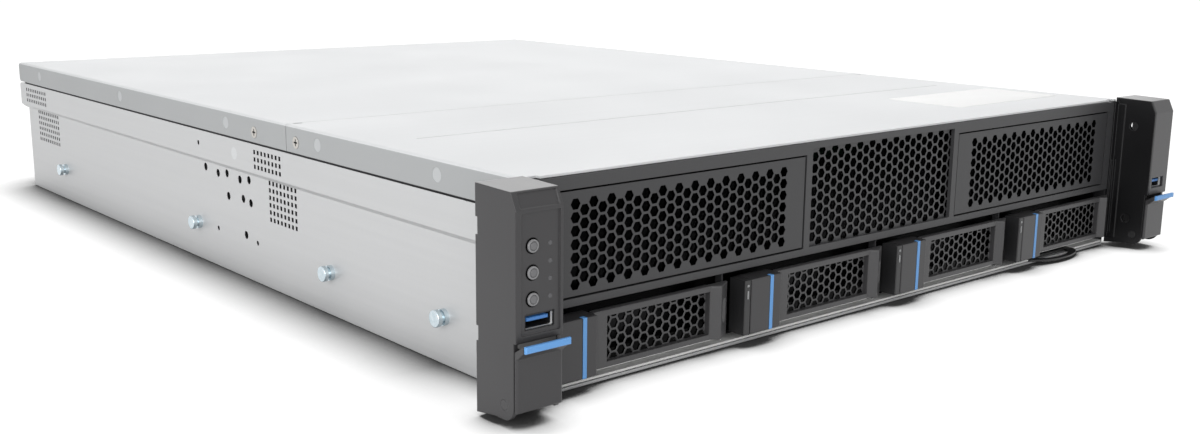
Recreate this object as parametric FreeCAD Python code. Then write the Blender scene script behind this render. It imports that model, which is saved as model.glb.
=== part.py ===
import FreeCAD, Part
import math
import os
from FreeCAD import Vector

# A two-unit rack recorder: a zinc-coated steel case with two covers, four drive trays, a perforated front,
# two rack ears with latches, and the boards, fans and power units that it needs inside.
# Millimetres. Every piece is drawn from a front datum: X to the right seen from the front, Y to the rear
# from the face of the front frame, Z up from the underside of the case.

# Case
rack_width = 482.6
case_height = 87.5
case_depth = 590.0
case_sheet = 1.2
case_front = 1.0
rail_recess = 2.7
joggle_height = 56.0
joggle_rise = 2.4
ledge_drop = 14.1
rear_overhang = 7.0
wall_corner = 2.5

# Covers
cover_sheet = 1.0
cover_gap = 0.2
cover_front = 1.2
cover_flange = 13.1
cover_lip = 3.3
cover_seam = 187.6
cover_seam_gap = 0.5
cover_bend = 1.6
cover_groove_place = 110.0
cover_groove_edge = 24.0
cover_groove_width = 0.8
cover_groove_depth = 0.3
press_spot_radius = 3.2
press_spot_depth = 0.15
press_spot_places = (58.0, 157.0, 254.0, 400.0, 547.0)
cover_screw_places = (177.9, 221.5)
cover_screw_drop = 7.9
notch_width = 5.0
notch_edge = 6.0
notch_depth = 2.0

# Side wall openings
vent_hole = 2.2
vent_pitch = 3.85
vent_row_pitch = 3.75
vent_upper_drop = 12.5
vent_lower_height = 35.0
vent_upper_rows = 3
vent_lower_rows = 6
vent_middle_columns = 8
vent_rear_columns = 11
vent_middle_places = (209.0, 199.0)
vent_rear_ends = (32.5, 47.0)
side_hole_radius = 2.1
side_holes = ((287.6, 53.1), (272.2, 51.7), (261.3, 53.0), (246.1, 51.8), (235.6, 53.0),
              (260.5, 41.0), (243.0, 42.1), (234.4, 41.1), (241.3, 23.2))
small_hole_radius = 1.3
small_holes = ((289.4, 66.4), (275.0, 21.1), (228.5, 21.1))

# Rail studs
stud_places = (57.8, 152.5, 298.8, 512.8)
stud_height = 20.8
stud_shank_radius = 2.4
stud_collar_radius = 3.6
stud_collar = 2.0
stud_neck = 3.4
stud_head_radius = 3.75
stud_head = 2.0
stud_edge = 0.4
stud_foot = 0.6

# Front frame, its grille and the two bay blanks
frame_low = 34.2
frame_face = 2.0
frame_depth = 12.0
frame_wall = 1.5
frame_side_gap = 0.3
blank_inner = 59.9
blank_side_edge = 6.9
blank_low_edge = 4.0
blank_top_edge = 6.1
blank_setback = 0.3
blank_face = 1.5
blank_depth = 14.0
blank_wall = 1.0
blank_gap = 0.8
snap_width = 10.0
snap_place = 37.0
hex_pitch = 5.35
hex_hole = 4.3
hex_side_margin = 14.1
hex_low_margin = 4.6
grille_side_edge = 4.8
grille_low_edge = 3.5
grille_top_edge = 2.7
grille_sheet = 1.0
grille_margin = 3.6

# Drive bays
bay_count = 4
divider = 0.8
cage_sheet = 1.0
cage_lift = 0.5
cage_front = 4.0
cage_depth = 177.0
cage_pad_radius = 4.0
cage_pad_place = 13.5
cage_pad_end = 17.7

# Carriers
tray_front = 7.2
tray_low = 6.5
tray_height = 24.6
carrier_gap = 0.95
carrier_rail = 2.0
carrier_pan = 0.8
carrier_low = 3.2
carrier_length = 168.0
carrier_rail_top = 28.0
bridge_place = 7.5
bridge_sheet = 1.5
bridge_window_edge = 4.0
post_left = 2.9
post_width = 3.6
part_gap = 0.5
edge_round = 0.5

# Release buttons
release_width = 19.5
release_depth = 9.7
release_stem_radius = 3.0
release_stem_length = 9.5
slide_clearance = 0.3
stripe_offset = 12.1
stripe_width = 2.0
stripe_inlay = 0.7
stripe_proud = 0.15
stripe_wrap = 2.2

# Tray levers
lever_setback = 2.6
lever_depth = 3.0
lever_low_trim = 1.1
lever_rise = 0.3
lever_right_edge = 3.6
lever_ridge_edge = 11.9
lever_slope_edge = 15.4
lever_end_setback = 4.6
lever_window_left = 33.8
lever_window_right_edge = 16.1
lever_window_edge = 2.4
lever_grille = 1.0
lever_hex_pitch = 4.8
lever_hex_hole = 3.85
lever_hex_rows = 4
hinge_edge = 10.4
hinge_y = 0.6
hinge_pin_radius = 1.2
hinge_clearance = 0.05
knuckle_radius = 2.9
knuckle_length = 5.8
hinge_arm_half = 1.2
scoop_radius = 3.4
scoop_half_height = 3.5
scoop_depth = 1.1

# Drives and the board behind them
drive_side_gap = 0.2
drive_rim = 4.0
drive_length = 147.0
drive_height = 26.1
drive_start = 16.0
backplane_sheet = 1.6
backplane_top = 60.0
connector_width = 42.0
connector_height = 6.0
connector_gap = 0.5
board_vent_width = 60.0
board_vent_height = 12.0
board_vent_low = 12.0
board_vent_drop = 18.0

# Ears
ear_width = 21.5
ear_case_lap = 0.2
ear_wall = 1.8
ear_back = 1.0
ear_front = 23.3
ear_low = 1.4
ear_rise = 1.0
ear_top_front = 20.2
ear_top_fall = 0.5
ear_slope_drop = 7.1
ear_shelf = 33.2
ear_recess_depth = 0.7
ear_recess_edge = 2.5
ear_recess_low = 35.6
ear_recess_drop = 1.0
ear_rib_depth = 6.2
ear_rib = 0.4
ear_skirt = 1.6
ear_skirt_gap = 0.1
ear_foot_trim = 5.2
ear_slope_recess = 0.5
ear_slope_margin = 0.8
ear_hole_radius = 2.6
ear_hole_place = 11.2
ear_hole_heights = (17.8, 72.7)
ear_notch_depth = 1.2
ear_notches = ((29.2, 35.1), (69.4, 76.1))
tongue_low = 8.0
tongue_high = 52.0
tongue_length = 22.0
tongue_screw_heights = (18.0, 42.0)
tongue_screw_place = 12.0

# Buttons, lights and sockets on the ears
button_edge = 7.9
button_drop = 12.2
button_above_socket = 8.5
button_count = 3
button_radius = 2.55
button_gap = 0.35
button_proud = 0.1
button_collar = 0.7
button_collar_height = 1.0
button_travel = 0.8
button_plate = 1.2
button_plate_low = 2.4
button_plate_high = 4.9
light_edge = 16.0
light_count = 4
light_radius = 0.9
usb_edge = 11.25
usb_height = 40.1
usb_width = 13.1
usb_tall = 5.7
usb_shell = 0.4
usb_depth = 14.0
usb_window_gap = 0.2
usb_tongue = 1.9

# Rack latches
latch_pin_y = 16.2
latch_pin_z = 8.7
latch_pin_radius = 2.0
latch_corner = 5.65
latch_face = 23.6
latch_plate = 1.5
latch_low = 6.8
latch_high = 30.0
latch_side_gap = 0.2
latch_cheek = 2.0
latch_cheek_gap = 0.6
latch_barrel = 3.2
latch_edge = 0.9
lip_root = 2.5
lip_rise = 0.8
tab_height = 2.6
tab_sheet = 1.4
tab_overhang = 5.3

# Pull-out tag
tag_place = 53.1
tag_half = 24.0
tag_reach = 10.5
tag_base = 3.0
tag_ring = 3.0
tag_ring_side = 7.0
tag_card_length = 66.0
tag_thick = 1.0
tag_lift = 0.3
tag_slot_gap = 0.5

# Fans
fan_count = 4
fan_head_room = 4.7
fan_side_gap = 18.0
fan_depth = 38.0
fan_wall_place = 213.0
fan_rim = 1.8
fan_floor_gap = 0.4
fan_boss = 17.0
fan_boss_depth = 4.0
fan_strut = 5.0
fan_wall_foot = 10.0
rotor_tip_gap = 1.6
rotor_hub = 18.5
rotor_start = 2.5
rotor_gap = 0.7
rotor_blades = 7
blade_thick = 1.8
blade_chord = 27.0
blade_pitch_angle = 40.0
shaft_radius = 2.0
shaft_length = 22.0

# Main board and what stands on it
board_side_gap = 4.1
board_power_gap = 6.8
board_front = 275.0
board_sheet = 1.6
board_height = 8.0
board_end_gap = 1.0
standoff_radius = 3.0
standoff_inset = 9.0
cpu_left_edge = 102.0
cpu_right_edge = 82.0
cpu_place = 110.0
cpu_size = 70.0
cpu_block = 6.0
sink_size = 84.0
sink_base = 5.0
sink_head_room = 12.3
fin_sheet = 1.0
fin_count = 22
memory_pitch = 9.0
memory_count = 4
memory_length = 133.0
memory_card = 1.4
memory_high = 31.0
memory_socket = 6.0
memory_socket_high = 7.0

# Power units
power_side_gap = 2.1
power_width = 73.5
power_head_room = 2.5
power_length = 185.0
power_sheet = 1.2
power_face = 4.0
power_gap = 0.4
power_face_proud = 1.2
power_wall_gap = 0.7
power_wall = 1.0
power_shelf_overhang = 3.0
power_handle_reach = 20.0
power_handle_bar = 5.0
power_handle_width = 20.0
power_handle_x = 18.0
power_handle_round = 1.5
inlet_width = 27.0
inlet_height = 20.0
inlet_wall = 2.0
inlet_depth = 24.0
inlet_x = 55.5
inlet_pin = 4.0
inlet_pin_length = 15.0
inlet_pin_pitch = 7.0
power_vent_pitch = 5.0
power_vent_hole = 4.0
power_vent_columns = 4
power_vent_rows = 6
power_latch_left = 33.4
power_latch_low = 23.6
power_latch_width = 3.6
power_latch_height = 7.0
power_latch_foot = 1.5
power_latch_reach = 12.0
power_latch_travel = 3.0

# Rear wall
rear_vent_pitch = 8.0
rear_vent_hole = 6.4
rear_vent_edge = 4.0
rear_vent_gap = 28.0
rear_vent_low = 33.0
rear_vent_top_edge = 6.3
slot_count = 6
slot_pitch = 20.3
slot_side_edge = 42.6
slot_plate_width = 18.4
slot_low = 14.0
slot_top_edge = 4.3
slot_opening_width = 12.0
slot_opening_edge = 6.0
network_edges = (20.0, 38.0, 70.0)
network_width = 16.0
network_height = 13.5
network_depth = 21.0
network_cavity_width = 11.8
network_cavity_height = 8.0
network_cavity_depth = 14.0
port_usb_edges = (94.0, 110.0)
video_edge = 138.0
video_width = 30.0
video_height = 12.0
video_nose_half = 10.0
video_nose_rise = 4.0
port_gap = 0.3

# Screws
screw_head_radius = 2.9
screw_head = 1.1
screw_proud = 0.15
screw_radius = 1.5
screw_length = 5.0
screw_gap = 0.08
screw_slot = 0.8
screw_slot_half = 1.7
screw_slot_depth = 0.6

# Values that follow from the sizes above
rack_half = rack_width / 2
ear_inner = rack_half - ear_width
half = ear_inner + ear_case_lap
case_width = half * 2
low_wall = half - rail_recess
inner_wall = half - cover_sheet - cover_gap
inside_half = low_wall - case_sheet
wall_top = case_height - cover_sheet - cover_gap
ledge_height = case_height - ledge_drop
cover_screw_height = case_height - cover_screw_drop
cover_groove_half = half - cover_groove_edge
vent_upper_height = ledge_height - vent_upper_drop
rear_low = case_depth - rear_overhang
column_ratio = math.sqrt(3) / 2
hex_column_pitch = hex_pitch * column_ratio

frame_half = inside_half - frame_side_gap
frame_top = wall_top
blank_width = frame_half - blank_side_edge - blank_inner
blank_low = frame_low + blank_low_edge
blank_high = frame_top - blank_top_edge
grille_half = blank_inner - grille_side_edge
grille_low = frame_low + grille_low_edge
grille_high = frame_top - grille_top_edge

bay_pitch = frame_half * 2 / bay_count
cage_floor = case_sheet + cage_lift
cage_floor_top = cage_floor + cage_sheet
cage_top = frame_low - cage_sheet
cage_back = cage_front + cage_depth
carrier_width = bay_pitch - carrier_gap * 2
drive_width = carrier_width - (carrier_rail + drive_side_gap) * 2
tray_high = tray_low + tray_height
tray_middle = tray_low + tray_height / 2
lever_low = tray_low + lever_low_trim
lever_high = tray_high + lever_rise
lever_middle = (lever_low + lever_high) / 2
lever_right = bay_pitch - lever_right_edge
lever_ridge = bay_pitch - lever_ridge_edge
lever_ridge_start = bay_pitch - lever_slope_edge
lever_window_right = bay_pitch - lever_window_right_edge
hinge_x = bay_pitch - hinge_edge
hinge_arm_rise = tray_height / 2 - lever_window_edge - knuckle_length - slide_clearance * 2

ear_top = case_height + ear_rise
ear_slope_low = ear_top - ear_slope_drop
ear_recess_high = ear_slope_low - ear_recess_drop
ear_panel = ear_front - ear_recess_depth
button_x = rack_half - button_edge
button_top = ear_recess_high - button_drop
button_low = usb_height + button_above_socket
button_heights = [button_top + (button_low - button_top) * index / (button_count - 1)
                  for index in range(button_count)]
light_x = rack_half - light_edge
light_heights = [button_top + (button_low - button_top) * index / (light_count - 1)
                 for index in range(light_count)]
usb_x = rack_half - usb_edge
tab_front = latch_face + tab_overhang
tab_low = latch_high + lip_rise

fan_size = wall_top - case_sheet - fan_floor_gap - fan_head_room
fan_pitch = fan_size + fan_side_gap
fan_bore = fan_size / 2 - fan_rim
rotor_radius = fan_bore - rotor_tip_gap

power_left = power_side_gap - inside_half
power_fence = power_left + power_width + power_wall_gap
power_height = (wall_top - case_sheet - power_gap * 4 - power_wall - power_head_room) / 2
power_back = rear_low + power_face_proud
rear_reach = power_back + power_handle_reach
origin_y = (rear_reach - tab_front) / 2

board_left = power_fence + power_wall + board_power_gap
board_right = inside_half - board_side_gap
board_back = rear_low - case_sheet - board_end_gap
board_top = board_height + board_sheet
cpu_places = (board_left + cpu_left_edge, board_right - cpu_right_edge)
cpu_y = board_front + cpu_place
sink_top = wall_top - sink_head_room
slot_first = inside_half - slot_side_edge - (slot_count - 1) * slot_pitch
slot_high = wall_top - slot_top_edge
rear_vent_left = board_left + rear_vent_edge
rear_vent_right = slot_first - rear_vent_gap
rear_vent_high = wall_top - rear_vent_top_edge
network_places = [board_left + edge for edge in network_edges]
port_usb_places = [board_left + edge for edge in port_usb_edges]
video_place = board_left + video_edge


# Drawing helpers
def block(x, y, z):
    """A box between three pairs of limits."""
    return Part.makeBox(x[1] - x[0], y[1] - y[0], z[1] - z[0], Vector(x[0], y[0], z[0]))


def rod(radius, start, end):
    """A round bar between two points."""
    start = Vector(*start)
    along = Vector(*end) - start
    return Part.makeCylinder(radius, along.Length, start, along)


def fused(first, *others):
    """One solid from pieces that touch or overlap."""
    return first.multiFuse(list(others)).removeSplitter()


def polygon(points):
    """A closed wire of straight edges."""
    corners = [Vector(*point) for point in points]
    return Part.makePolygon(corners + corners[:1])


def rounded(corners):
    """A closed wire through (point, radius) corners, each corner rounded by its own radius."""
    edges = []
    ends = []
    count = len(corners)
    for index, (point, radius) in enumerate(corners):
        here = Vector(*point)
        to_last = (Vector(*corners[index - 1][0]) - here).normalize()
        to_next = (Vector(*corners[(index + 1) % count][0]) - here).normalize()
        if radius == 0:
            ends.append((here, here, None))
            continue
        turn = to_last.getAngle(to_next)
        reach = radius / math.tan(turn / 2)
        bisector = (to_last + to_next).normalize()
        middle = here + bisector * (radius / math.sin(turn / 2) - radius)
        ends.append((here + to_last * reach, here + to_next * reach, middle))
    for index, (start, end, middle) in enumerate(ends):
        if middle is not None:
            edges.append(Part.Arc(start, middle, end).toShape())
        edges.append(Part.LineSegment(end, ends[(index + 1) % count][0]).toShape())
    return Part.Wire(edges)


def prism(outline, travel, holes=()):
    """A flat outline with holes, drawn out along a straight travel."""
    wires = [outline] + list(holes)
    return Part.makeFace(wires, "Part::FaceMakerBullseye").extrude(Vector(*travel))


def hexagon(x, y, z, across):
    """A hexagon facing the front, with a flat edge at its top."""
    radius = across / math.sqrt(3)
    angles = [math.radians(60 * corner) for corner in range(6)]
    return polygon([(x + radius * math.cos(a), y, z + radius * math.sin(a)) for a in angles])


def circle(centre, normal, radius):
    """A round wire."""
    return Part.Wire(Part.makeCircle(radius, Vector(*centre), Vector(*normal)))


def mirrored(shape):
    """The same shape on the other side of the middle plane."""
    return shape.mirror(Vector(0, 0, 0), Vector(1, 0, 0))


def softened(shape, radius, chosen):
    """Rounds the edges that a test picks."""
    return shape.makeFillet(radius, [edge for edge in shape.Edges if chosen(edge)])


# Case
def vent_patch(middle, low, columns, rows):
    """Square air holes in a regular patch of the side wall, centred on a place along the case."""
    wires = []
    first = middle - (columns - 1) * vent_pitch / 2
    for column in range(columns):
        for row in range(rows):
            y = first + column * vent_pitch
            z = low + row * vent_row_pitch
            near = y - vent_hole / 2
            far = y + vent_hole / 2
            wires.append(polygon([(-half - 1, near, z), (-half - 1, far, z),
                                  (-half - 1, far, z + vent_hole), (-half - 1, near, z + vent_hole)]))
    return wires


def side_openings():
    """Every hole through the two side walls."""
    wires = []
    rear_places = [case_depth - end for end in vent_rear_ends]
    for places, columns in ((vent_middle_places, vent_middle_columns), (rear_places, vent_rear_columns)):
        wires += vent_patch(places[0], vent_upper_height, columns, vent_upper_rows)
        wires += vent_patch(places[1], vent_lower_height, columns, vent_lower_rows)
    rounds = [(place, side_hole_radius) for place in side_holes]
    rounds += [(place, small_hole_radius) for place in small_holes]
    rounds += [((y, stud_height), stud_shank_radius + screw_gap) for y in stud_places]
    rounds += [((y, cover_screw_height), screw_radius + screw_gap) for y in cover_screw_places]
    rounds += [((tongue_screw_place, z), screw_radius + screw_gap) for z in tongue_screw_heights]
    wires += [circle((-half - 1, y, z), (1, 0, 0), radius) for (y, z), radius in rounds]
    return wires


def chassis_base():
    """The folded floor and side walls, recessed low down for the slide rails."""
    right = [(low_wall, 0), (low_wall, joggle_height), (half, joggle_height + joggle_rise),
             (half, ledge_height), (inner_wall, ledge_height), (inner_wall, wall_top),
             (inner_wall - case_sheet, wall_top), (inner_wall - case_sheet, ledge_height - case_sheet),
             (half - case_sheet, ledge_height - case_sheet),
             (half - case_sheet, joggle_height + joggle_rise + case_sheet / 2),
             (inside_half, joggle_height + case_sheet / 2), (inside_half, case_sheet)]
    section = right + [(-x, z) for x, z in reversed(right)]
    folded = prism(polygon([(x, case_front, z) for x, z in section]), (0, case_depth - case_front, 0))
    side = rounded([((-half - 1, case_front, 0), 0), ((-half - 1, rear_low, 0), 0),
                    ((-half - 1, rear_low, joggle_height), 0),
                    ((-half - 1, case_depth, joggle_height), wall_corner),
                    ((-half - 1, case_depth, ledge_height), wall_corner),
                    ((-half - 1, rear_low, ledge_height), 0), ((-half - 1, rear_low, case_height), 0),
                    ((-half - 1, case_front, case_height), 0)])
    return folded.common(prism(side, (case_width + 2, 0, 0), side_openings()))


def cover(front, back, rounded_back):
    """A folded lid with a flange down each side."""
    edge = case_height - cover_flange
    inner = half - cover_sheet
    under = case_height - cover_sheet
    section = [((-half, front, edge), 0), ((-half, front, case_height), cover_bend),
               ((half, front, case_height), cover_bend), ((half, front, edge), 0),
               ((inner, front, edge), 0), ((inner, front, under), cover_bend - cover_sheet),
               ((-inner, front, under), cover_bend - cover_sheet), ((-inner, front, edge), 0)]
    lid = prism(rounded(section), (0, back - front, 0))
    if rounded_back:
        lid = fused(lid, block((-inner, inner), (back - cover_sheet, back), (case_height - cover_lip, under)))
        corner = wall_corner
    else:
        corner = 0
    outline = rounded([((-half - 1, front, edge), 0), ((-half - 1, back, edge), corner),
                       ((-half - 1, back, case_height), corner), ((-half - 1, front, case_height), 0)])
    lid = lid.common(prism(outline, (case_width + 2, 0, 0)))
    spot_height = case_height - cover_flange / 2
    cuts = []
    for side in (-1, 1):
        for y in press_spot_places:
            if front < y < back:
                cuts.append(rod(press_spot_radius, (side * (half - press_spot_depth), y, spot_height),
                                (side * (half + 1), y, spot_height)))
        for y in cover_screw_places:
            if front < y < back:
                cuts.append(rod(screw_head_radius + screw_gap, (side * (inner - 1), y, cover_screw_height),
                                (side * (half + 1), y, cover_screw_height)))
    return lid.cut(Part.makeCompound(cuts))


def top_cover_front():
    lid = cover(cover_front, cover_seam - cover_seam_gap / 2, False)
    groove = block((-cover_groove_half, cover_groove_half),
                   (cover_groove_place - cover_groove_width / 2, cover_groove_place + cover_groove_width / 2),
                   (case_height - cover_groove_depth, case_height + 1))
    lid = lid.cut(groove)
    for side in (-1, 1):
        middle = side * (half - notch_edge)
        for y in (cover_front, cover_seam):
            lid = lid.cut(block((middle - notch_width / 2, middle + notch_width / 2),
                                (y - notch_depth, y + notch_depth),
                                (case_height - cover_sheet - 1, case_height + 1)))
    return lid


def top_cover_rear():
    return cover(cover_seam + cover_seam_gap / 2, case_depth, True)


def flat_screw(surface, y, z, side, length):
    """A flat-headed screw whose head lies in the surface, driven along X."""
    outer = surface + screw_proud
    head = rod(screw_head_radius, (side * (outer - screw_head), y, z), (side * outer, y, z))
    shank = rod(screw_radius, (side * (outer - length), y, z), (side * (outer - screw_head), y, z))
    screw = fused(head, shank)
    cross = [block(sorted((side * (outer - screw_slot_depth), side * (outer + 1))),
                   (y - wide, y + wide), (z - tall, z + tall))
             for wide, tall in ((screw_slot_half, screw_slot / 2), (screw_slot / 2, screw_slot_half))]
    return screw.cut(Part.makeCompound(cross))


def case_screws():
    """Screws that hold the covers, and shorter ones through the ears' tongues that end in the case's wall."""
    screws = []
    tongue_screw = screw_proud + ear_wall + case_sheet
    for side in (-1, 1):
        screws += [flat_screw(half, y, cover_screw_height, side, screw_length) for y in cover_screw_places]
        screws += [flat_screw(low_wall + ear_wall, tongue_screw_place, z, side, tongue_screw)
                   for z in tongue_screw_heights]
    return Part.makeCompound(screws)


def rail_studs():
    """Headed studs that a slide rail's keyholes drop over."""
    studs = []
    neck_end = low_wall + stud_neck
    for side in (-1, 1):
        for y in stud_places:
            shank = rod(stud_shank_radius, (side * (inside_half - stud_foot), y, stud_height),
                        (side * neck_end, y, stud_height))
            head = rod(stud_head_radius, (side * neck_end, y, stud_height),
                       (side * (neck_end + stud_head), y, stud_height))
            head = softened(head, stud_edge, lambda edge: abs(edge.CenterOfMass.x) > neck_end + stud_head / 2)
            collar = rod(stud_collar_radius, (side * low_wall, y, stud_height),
                         (side * (low_wall + stud_collar), y, stud_height))
            foot = rod(stud_collar_radius, (side * (inside_half - stud_foot), y, stud_height),
                       (side * inside_half, y, stud_height))
            studs.append(fused(shank, head, collar, foot))
    return Part.makeCompound(studs)


# Front
def front_frame():
    """The dark front: a folded frame with two bay windows and the grille between them."""
    window_low = blank_low - blank_gap
    window_high = blank_high + blank_gap
    near = blank_inner - blank_gap
    far = blank_inner + blank_width + blank_gap
    windows = []
    for x in ((-far, -near), (near, far)):
        windows.append(polygon([(x[0], 0, window_low), (x[1], 0, window_low),
                                (x[1], 0, window_high), (x[0], 0, window_high)]))
    windows.append(polygon([(-grille_half, 0, grille_low), (grille_half, 0, grille_low),
                            (grille_half, 0, grille_high), (-grille_half, 0, grille_high)]))
    outer = polygon([(-frame_half, 0, frame_low), (frame_half, 0, frame_low),
                     (frame_half, 0, frame_top), (-frame_half, 0, frame_top)])
    face = prism(outer, (0, frame_face, 0), windows)
    top = block((-frame_half, frame_half), (0, frame_depth), (frame_top - frame_wall, frame_top))
    bottom = block((-frame_half, frame_half), (0, frame_depth), (frame_low, frame_low + frame_wall))
    ends = [block(sorted((side * (frame_half - frame_wall), side * frame_half)), (0, frame_depth),
                  (frame_low, frame_top)) for side in (-1, 1)]
    reach = int(grille_half / hex_column_pitch) + 1
    rows = int((grille_high - grille_low) / hex_pitch) + 1
    holes = []
    for column in range(-reach, reach + 1):
        shift = hex_pitch / 2 * (column % 2)
        for row in range(rows):
            z = grille_low + hex_pitch / 4 + shift + row * hex_pitch
            if z + hex_hole / 2 < frame_top - frame_wall / 4:
                holes.append(hexagon(column * hex_column_pitch, frame_face, z, hex_hole))
    wide = grille_half + grille_margin
    plate = polygon([(-wide, frame_face, frame_low + frame_wall), (wide, frame_face, frame_low + frame_wall),
                     (wide, frame_face, frame_top), (-wide, frame_face, frame_top)])
    grille = prism(plate, (0, grille_sheet, 0), holes)
    return fused(face, top, bottom, ends[0], ends[1], grille)


def left_bay_blank():
    """A perforated panel that closes an empty bay, with flanges that snap into the frame's window."""
    left = -blank_inner - blank_width
    right = -blank_inner
    front = blank_setback
    columns = int((blank_width - hex_side_margin * 2) / hex_column_pitch) + 1
    rows = int((blank_high - blank_low - hex_low_margin * 2) / hex_pitch) + 1
    first = left + (blank_width - (columns - 1) * hex_column_pitch) / 2
    holes = []
    for column in range(columns):
        odd = column % 2
        for row in range(rows - odd):
            holes.append(hexagon(first + column * hex_column_pitch, front,
                                 blank_low + hex_low_margin + (row + odd / 2) * hex_pitch, hex_hole))
    outer = polygon([(left, front, blank_low), (right, front, blank_low),
                     (right, front, blank_high), (left, front, blank_high)])
    face = prism(outer, (0, blank_face, 0), holes)
    hollow = block((left + blank_wall, right - blank_wall), (front, blank_depth + 1),
                   (blank_low + blank_wall, blank_high - blank_wall))
    skirt = block((left, right), (front, blank_depth), (blank_low, blank_high)).cut(hollow)
    snaps = []
    for x in (left + snap_place, right - snap_place):
        for z in ((blank_low - blank_gap, blank_low), (blank_high, blank_high + blank_gap)):
            snaps.append(block((x - snap_width / 2, x + snap_width / 2),
                               (front + blank_face / 2, frame_face), z))
    return fused(face, skirt, *snaps)


def right_bay_blank():
    return mirrored(left_bay_blank())


def bay_left(bay):
    """The left limit of a drive bay."""
    return (bay - bay_count / 2) * bay_pitch


def drive_cage():
    """Floor plate, dividers and roof of the drive bays, standing on pressed pads."""
    wide = frame_half
    floor = block((-wide, wide), (case_front, cage_back), (cage_floor, cage_floor_top))
    slot_half = tag_half + tag_slot_gap
    tag_x = bay_left(bay_count - 1) + tag_place
    floor = floor.cut(block((tag_x - slot_half, tag_x + slot_half),
                            (case_front - 1, tag_base + tag_card_length + tag_slot_gap),
                            (cage_floor - 1, cage_floor_top + 1)))
    roof = block((-wide, wide), (cage_front, cage_back), (cage_top, frame_low))
    walls = []
    for bay in range(1, bay_count):
        x = bay_left(bay)
        walls.append(block((x - divider / 2, x + divider / 2), (cage_front, cage_back),
                           (cage_floor_top, cage_top)))
    pads = []
    for bay in range(bay_count):
        x = bay_left(bay) + cage_pad_place
        for y in (cage_front + cage_pad_end, cage_back - cage_pad_end):
            pads.append(rod(cage_pad_radius, (x, y, case_sheet), (x, y, cage_floor)))
    return fused(floor, roof, *(walls + pads))


# Drive trays
def carrier(bay):
    """The tray's frame: floor pan, side rails, a front bridge, the light post and the lever's hinge pin."""
    left = bay_left(bay)
    start = left + carrier_gap
    end = start + carrier_width
    back = bridge_place + carrier_length
    pan_top = carrier_low + carrier_pan
    pan = block((start, end), (bridge_place, back), (carrier_low, pan_top))
    rails = [block(x, (bridge_place, back), (carrier_low, carrier_rail_top))
             for x in ((start, start + carrier_rail), (end - carrier_rail, end))]
    bridge = block((start, end), (bridge_place, bridge_place + bridge_sheet), (carrier_low, tray_high))
    window = block((left + lever_window_left, left + lever_window_right), (0, drive_start),
                   (tray_low + bridge_window_edge, tray_high - bridge_window_edge))
    stem_x = release_x(bay) + release_width / 2
    stem_hole = rod(release_stem_radius + slide_clearance, (stem_x, 0, tray_middle),
                    (stem_x, drive_start, tray_middle))
    bridge = bridge.cut(Part.makeCompound([window, stem_hole]))
    post = block((left + post_left, left + post_left + post_width), (-tray_front, bridge_place),
                 (tray_low, tray_high))
    post = softened(post, edge_round, lambda edge: edge.BoundBox.YMax < 0)
    arm = block((left + hinge_x - hinge_arm_half, left + hinge_x + hinge_arm_half),
                (hinge_y, bridge_place), (tray_middle - hinge_arm_rise, tray_middle + hinge_arm_rise))
    reach = hinge_arm_rise + knuckle_length + slide_clearance
    pin = rod(hinge_pin_radius, (left + hinge_x, hinge_y, tray_middle - reach),
              (left + hinge_x, hinge_y, tray_middle + reach))
    return fused(pan, bridge, post, arm, pin, *rails)


def lever_hexes(left, back):
    """Hexagons of a tray lever's grille, cut off by its window at every other column."""
    column_pitch = lever_hex_pitch * column_ratio
    width = lever_window_right - lever_window_left
    columns = int((width - lever_hex_hole) / column_pitch) + 1
    first = left + lever_window_left + (width - (columns - 1) * column_pitch) / 2
    holes = []
    for column in range(columns):
        rows = lever_hex_rows + column % 2
        for row in range(rows):
            z = lever_middle + (row - (rows - 1) / 2) * lever_hex_pitch
            holes.append(hexagon(first + column * column_pitch, back, z, lever_hex_hole))
    return holes


def tray_lever(bay):
    """The perforated handle that swings out about its right-hand end."""
    left = bay_left(bay)
    front = -tray_front + lever_setback
    back = front + lever_depth
    start = release_x(bay) + release_width + part_gap
    plan = [(start, front), (left + lever_ridge_start, front), (left + lever_ridge, -tray_front),
            (left + lever_right, -tray_front + lever_end_setback), (left + lever_right, back), (start, back)]
    body = prism(polygon([(x, y, lever_low) for x, y in plan]), (0, 0, lever_high - lever_low))
    body = softened(body, edge_round, lambda edge: edge.BoundBox.YMax < back - edge_round)
    window = block((left + lever_window_left, left + lever_window_right), (-tray_front - 1, back + 1),
                   (lever_low + lever_window_edge, lever_high - lever_window_edge))
    plate = polygon([(start, back, lever_low), (left + lever_ridge_start, back, lever_low),
                     (left + lever_ridge_start, back, lever_high), (start, back, lever_high)])
    grille = prism(plate, (0, lever_grille, 0), lever_hexes(left, back))
    knuckles = []
    for side in (-1, 1):
        inner_end = tray_middle + side * (hinge_arm_rise + slide_clearance)
        knuckles.append(rod(knuckle_radius, (left + hinge_x, hinge_y, inner_end),
                            (left + hinge_x, hinge_y, inner_end + side * knuckle_length)))
    bore = rod(hinge_pin_radius + hinge_clearance,
               (left + hinge_x, hinge_y, lever_low + slide_clearance),
               (left + hinge_x, hinge_y, lever_high - slide_clearance))
    slope = Vector(lever_right - lever_ridge, lever_end_setback, 0).normalize()
    outward = Vector(slope.y, -slope.x, 0)
    face_middle = Vector(left + (lever_ridge + lever_right) / 2, -tray_front + lever_end_setback / 2,
                         lever_middle)
    scoop_centre = face_middle + outward * (scoop_radius - scoop_depth)
    ends = [scoop_centre + Vector(0, 0, side * scoop_half_height) for side in (-1, 1)]
    scoop = fused(rod(scoop_radius, tuple(ends[0]), tuple(ends[1])),
                  Part.makeSphere(scoop_radius, ends[0]), Part.makeSphere(scoop_radius, ends[1]))
    return fused(body.cut(Part.makeCompound([window, scoop])), grille, *knuckles).cut(bore)


def release_x(bay):
    """The left side of a tray's release button."""
    return bay_left(bay) + post_left + post_width + part_gap


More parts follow.
